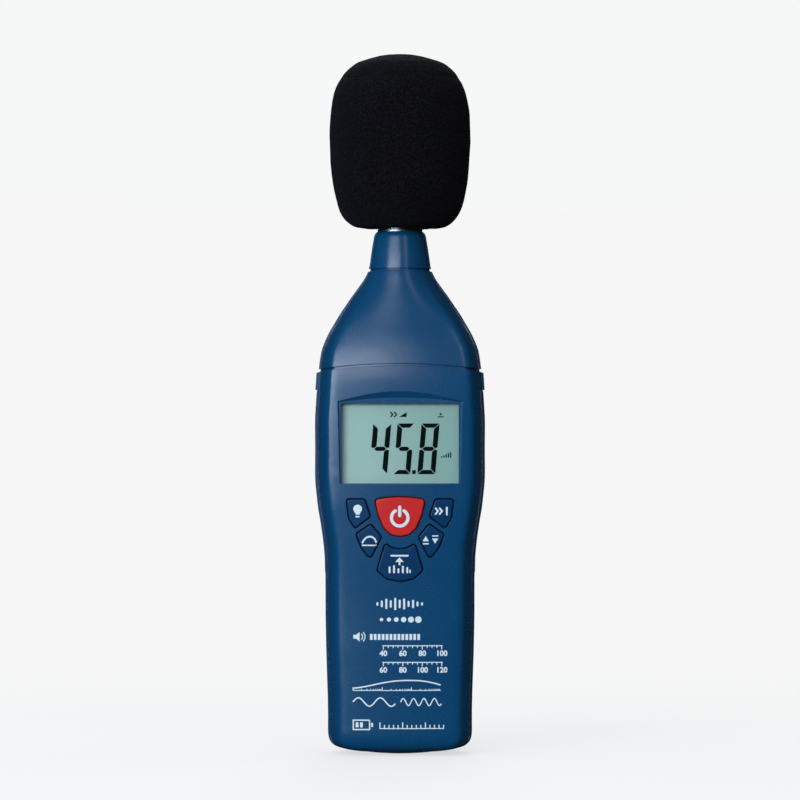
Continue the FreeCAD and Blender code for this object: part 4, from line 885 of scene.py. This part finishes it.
def digit(x, width, lit):
    """Seven-segment figure with its left side at x; lit names its segments, a to g."""
    top = DIGIT_FOOT + DIGIT_HEIGHT
    middle = DIGIT_FOOT + DIGIT_HEIGHT / 2
    t, c = SEGMENT, FLAT_HALF
    x0, x1 = x + SEGMENT_GAP, x + width - SEGMENT_GAP
    high, low = top - c, DIGIT_FOOT + c

    def upright(outer, inner, end, way):
        """From beside the middle to the end; way is 1 up, -1 down."""
        near = middle + way * SEGMENT_GAP
        end -= way * SEGMENT_GAP
        return [(outer, near + way * 0.35), (outer, end - way * 0.1), (inner, end - way * t),
                (inner, near + way * 0.75), ((outer + inner) / 2, near + way * 0.1)]
    left, right = (x, x + t), (x + width, x + width - t)
    outlines = {
        "a": [(x0, high + c), (x1, high + c), (x1 - 2 * c, high - c), (x0 + 2 * c, high - c)],
        "d": [(x0, low - c), (x0 + 2 * c, low + c), (x1 - 2 * c, low + c), (x1, low - c)],
        "g": [(x0 + 0.5 * t, middle), (x0 + t, middle + c), (x1 - t, middle + c),
              (x1 - 0.5 * t, middle), (x1 - t, middle - c), (x0 + t, middle - c)],
        "f": upright(*left, top, 1),
        "b": upright(*right, top, 1),
        "e": upright(*left, DIGIT_FOOT, -1),
        "c": upright(*right, DIGIT_FOOT, -1)}
    return [sheet([(px + SLANT * (pz - middle), pz) for px, pz in outlines[name]])
            for name in lit]


lcd = digit(-9.2, 5.75, "fbgc") + digit(-1.45, 5.4, "afgcd") + digit(6.2, 5.75, "abcdefg")
lcd.append(poly((3.82, 89.85), (4.98, 89.85), (5.08, 91.1), (3.92, 91.1)))   # decimal point
# small signs: two arrowheads and a wedge, a triangle on a line, five growing uprights
lcd += [chevron(x, 108.0, 109.7, reach=0.8, width=0.42) for x in (-3.1, -1.9)]
lcd.append(poly((-0.3, 108.1), (2.1, 108.1), (2.1, 109.6)))
lcd += [strip(12.0, 108.1, 14.0, 108.1, 0.35), poly((12.5, 108.7), (13.5, 108.7), (13.0, 109.5))]
lcd += [strip(13.3 + 0.72 * i, 95.1, 13.3 + 0.72 * i, 95.5 + 0.34 * i, 0.42) for i in range(5)]
print_on("display_segments", lcd, "case", "lcd_ink",
         flat_y=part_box("lcd_glass")[0].y / MM - 0.005, sink=0.0)

# ------------------------------------------------------------------ back
# label: a framed set of lines, and a ring with a line across it
label = [sheet(corners(-14.2, 81.8, 14.2, 101.2), corners(-13.85, 82.15, 13.85, 100.85))]
label += [strip(-12.0, z, right, z, 0.3)
          for z, right in ((97.0, 12.0), (93.0, 12.0), (89.0, 12.0), (85.5, 3.0))]
label += [sheet(circle(8.6, 85.9, 2.0, 32), circle(8.6, 85.9, 1.65, 32)),
          strip(7.4, 85.9, 9.8, 85.9, 0.35)]
print_on("rear_label_lines", label, "case", "dark_ink",
         surface=surface_of("rear_label"), lift=0.015, sink=0.05, step=3.0, front=False)

arrow = [poly((-2.6, 39.6), (2.6, 39.6), (0.0, 36.6)), strip(-2.6, 41.2, 2.6, 41.2, 0.6)]
print_on("door_arrow", arrow, "door_body", "case",
         surface=surface_of("battery_door"), lift=0.22, sink=0.08, step=1.0, front=False)

# battery: a minus, a plus in three pieces and a band near the foot
signs = [strip(*ends, 0.9) for ends in (
    (4.4, 44.5, 8.2, 44.5), (-8.2, 44.5, -4.4, 44.5),
    (-6.3, 42.6, -6.3, 44.05), (-6.3, 44.95, -6.3, 46.4))]
signs.append(sheet(corners(-11.0, 12.0, 11.0, 13.0)))
print_on("battery_signs", signs, "case", "white_ink",
         surface=surface_of("battery"), lift=0.02, step=2.0, front=False)


# ------------------------------------------------------------------ lights, in metres
def soft(name, place, aim_z, size, radiance, tint=(1, 1, 1)):
    """Rectangular light aimed at a height on the meter's axis."""
    wide, high = size
    light = bpy.data.lights.new(name, "AREA")
    light.shape = "RECTANGLE"
    light.size, light.size_y = wide, high
    light.energy = radiance * math.pi * wide * high
    light.color = tint
    ob = bpy.data.objects.new(name, light)
    bpy.context.scene.collection.objects.link(ob)
    ob.location = place
    ob.rotation_mode = "QUATERNION"
    ob.rotation_quaternion = (Vector((0, 0, aim_z)) - Vector(place)).to_track_quat("-Z", "Y")
    ob.visible_camera = False


def polar(angle, away, z):
    """A place at an angle in degrees from straight in front, positive to the right."""
    turn = math.radians(angle)
    return (math.sin(turn) * away, -math.cos(turn) * away, z)


soft("left_softbox", polar(angle=-34, away=1.0, z=0.165), aim_z=0.13, size=(0.66, 0.21),
     radiance=7.0, tint=(0.78, 0.94, 1.06))
soft("shoulder_softbox", polar(angle=-25, away=1.0, z=0.34), aim_z=0.13, size=(0.90, 0.14),
     radiance=11.0, tint=(0.92, 0.95, 1.04))
soft("upper_softbox", polar(angle=-27, away=1.0, z=0.505), aim_z=0.14, size=(0.84, 0.19),
     radiance=2.3, tint=(0.70, 0.92, 1.10))
soft("right_panel", polar(angle=25, away=1.0, z=0.50), aim_z=0.14, size=(0.16, 0.34), radiance=2.4)
soft("rim_left", polar(angle=-168, away=0.9, z=0.20), aim_z=0.11, size=(0.12, 0.7), radiance=1.4)
soft("rim_right", polar(angle=168, away=0.9, z=0.20), aim_z=0.11, size=(0.12, 0.7), radiance=1.1)
soft("top_light", (0.0, 0.10, 1.1), aim_z=0.1, size=(0.7, 0.5), radiance=1.2)
soft("back_light", polar(angle=176, away=0.95, z=0.85), aim_z=0.10, size=(0.42, 0.40), radiance=6.5)


def studio():
    """World: soft fill light, near black in reflections, pale to the camera."""
    world = bpy.data.worlds.new("studio")
    bpy.context.scene.world = world
    world.use_nodes = True
    nodes, links = world.node_tree.nodes, world.node_tree.links
    nodes.clear()
    output = nodes.new("ShaderNodeOutputWorld")
    rays = nodes.new("ShaderNodeLightPath")

    def background(color, strength):
        node = nodes.new("ShaderNodeBackground")
        node.inputs["Color"].default_value = color
        node.inputs["Strength"].default_value = strength
        return node

    def choose(ray, otherwise, chosen):
        node = nodes.new("ShaderNodeMixShader")
        links.new(rays.outputs[ray], node.inputs[0])
        links.new(otherwise.outputs[0], node.inputs[1])
        links.new(chosen.outputs[0], node.inputs[2])
        return node
    fill = background(color=(0.90, 0.95, 1.0, 1.0), strength=0.42)
    gloss = background(color=(0.85, 0.93, 1.0, 1.0), strength=0.015)
    pale = background(color=(0.925, 0.93, 0.935, 1.0), strength=1.0)
    seen = choose("Is Camera Ray", choose("Is Glossy Ray", fill, gloss), pale)
    links.new(seen.outputs[0], output.inputs["Surface"])


studio()


# ------------------------------------------------------------------ floor and camera
def floor_material():
    """Grey near the meter; farther out it glows pale, to the camera only."""
    look = Look("pale_floor")
    tone = look.noise(per_mm=0.004)
    rays = look.add("ShaderNodeLightPath")
    away = look.add("ShaderNodeVectorMath", {0: look.mm}, operation="LENGTH")
    far = look.ramp(away.outputs["Value"], over=(110.0, 520.0))
    glow = look.math("MULTIPLY", look.ramp(far, over=(0.0, 1.0), to=(0.65, 0.925)),
                     rays.outputs["Is Camera Ray"])
    base = look.mix(look.ramp(tone), (0.30, 0.30, 0.30, 1.0), (0.32, 0.32, 0.32, 1.0))
    return look.finish(
        Base_Color=look.mix(far, base, (0.0, 0.0, 0.0, 1.0)), Roughness=0.8,
        Specular_IOR_Level=0.0, Emission_Color=(1.0, 1.0, 1.0, 1.0), Emission_Strength=glow)


def floor(cells=40, size=5.0, level_radius=1.6, rise=0.35):
    """Seamless floor, level under the object and turned up far from it."""
    places = [-size / 2 + size * i / cells for i in range(cells + 1)]
    verts = [(x, y, -0.0002 + rise * max(0.0, math.hypot(x, y) - level_radius) ** 2)
             for x in places for y in places]
    row = cells + 1
    faces = [(a, a + row, a + row + 1, a + 1)
             for i in range(cells) for a in range(i * row, i * row + cells)]
    mesh = bpy.data.meshes.new("floor")
    mesh.from_pydata(verts, [], faces)
    mesh.polygons.foreach_set("use_smooth", [True] * len(mesh.polygons))
    mesh.materials.append(floor_material())
    ob = bpy.data.objects.new("floor", mesh)
    bpy.context.scene.collection.objects.link(ob)
    ob.visible_glossy = False


floor()

camera = bpy.data.cameras.new("camera")
camera.lens = 190.0
camera.sensor_width = 36.0
camera_ob = bpy.data.objects.new("camera", camera)
bpy.context.scene.collection.objects.link(camera_ob)
camera_ob.location = (0.0, -1.36, 0.1135)
camera_ob.rotation_euler = (math.radians(90), 0, 0)
bpy.context.scene.camera = camera_ob
bpy.context.scene.view_settings.view_transform = "Standard"
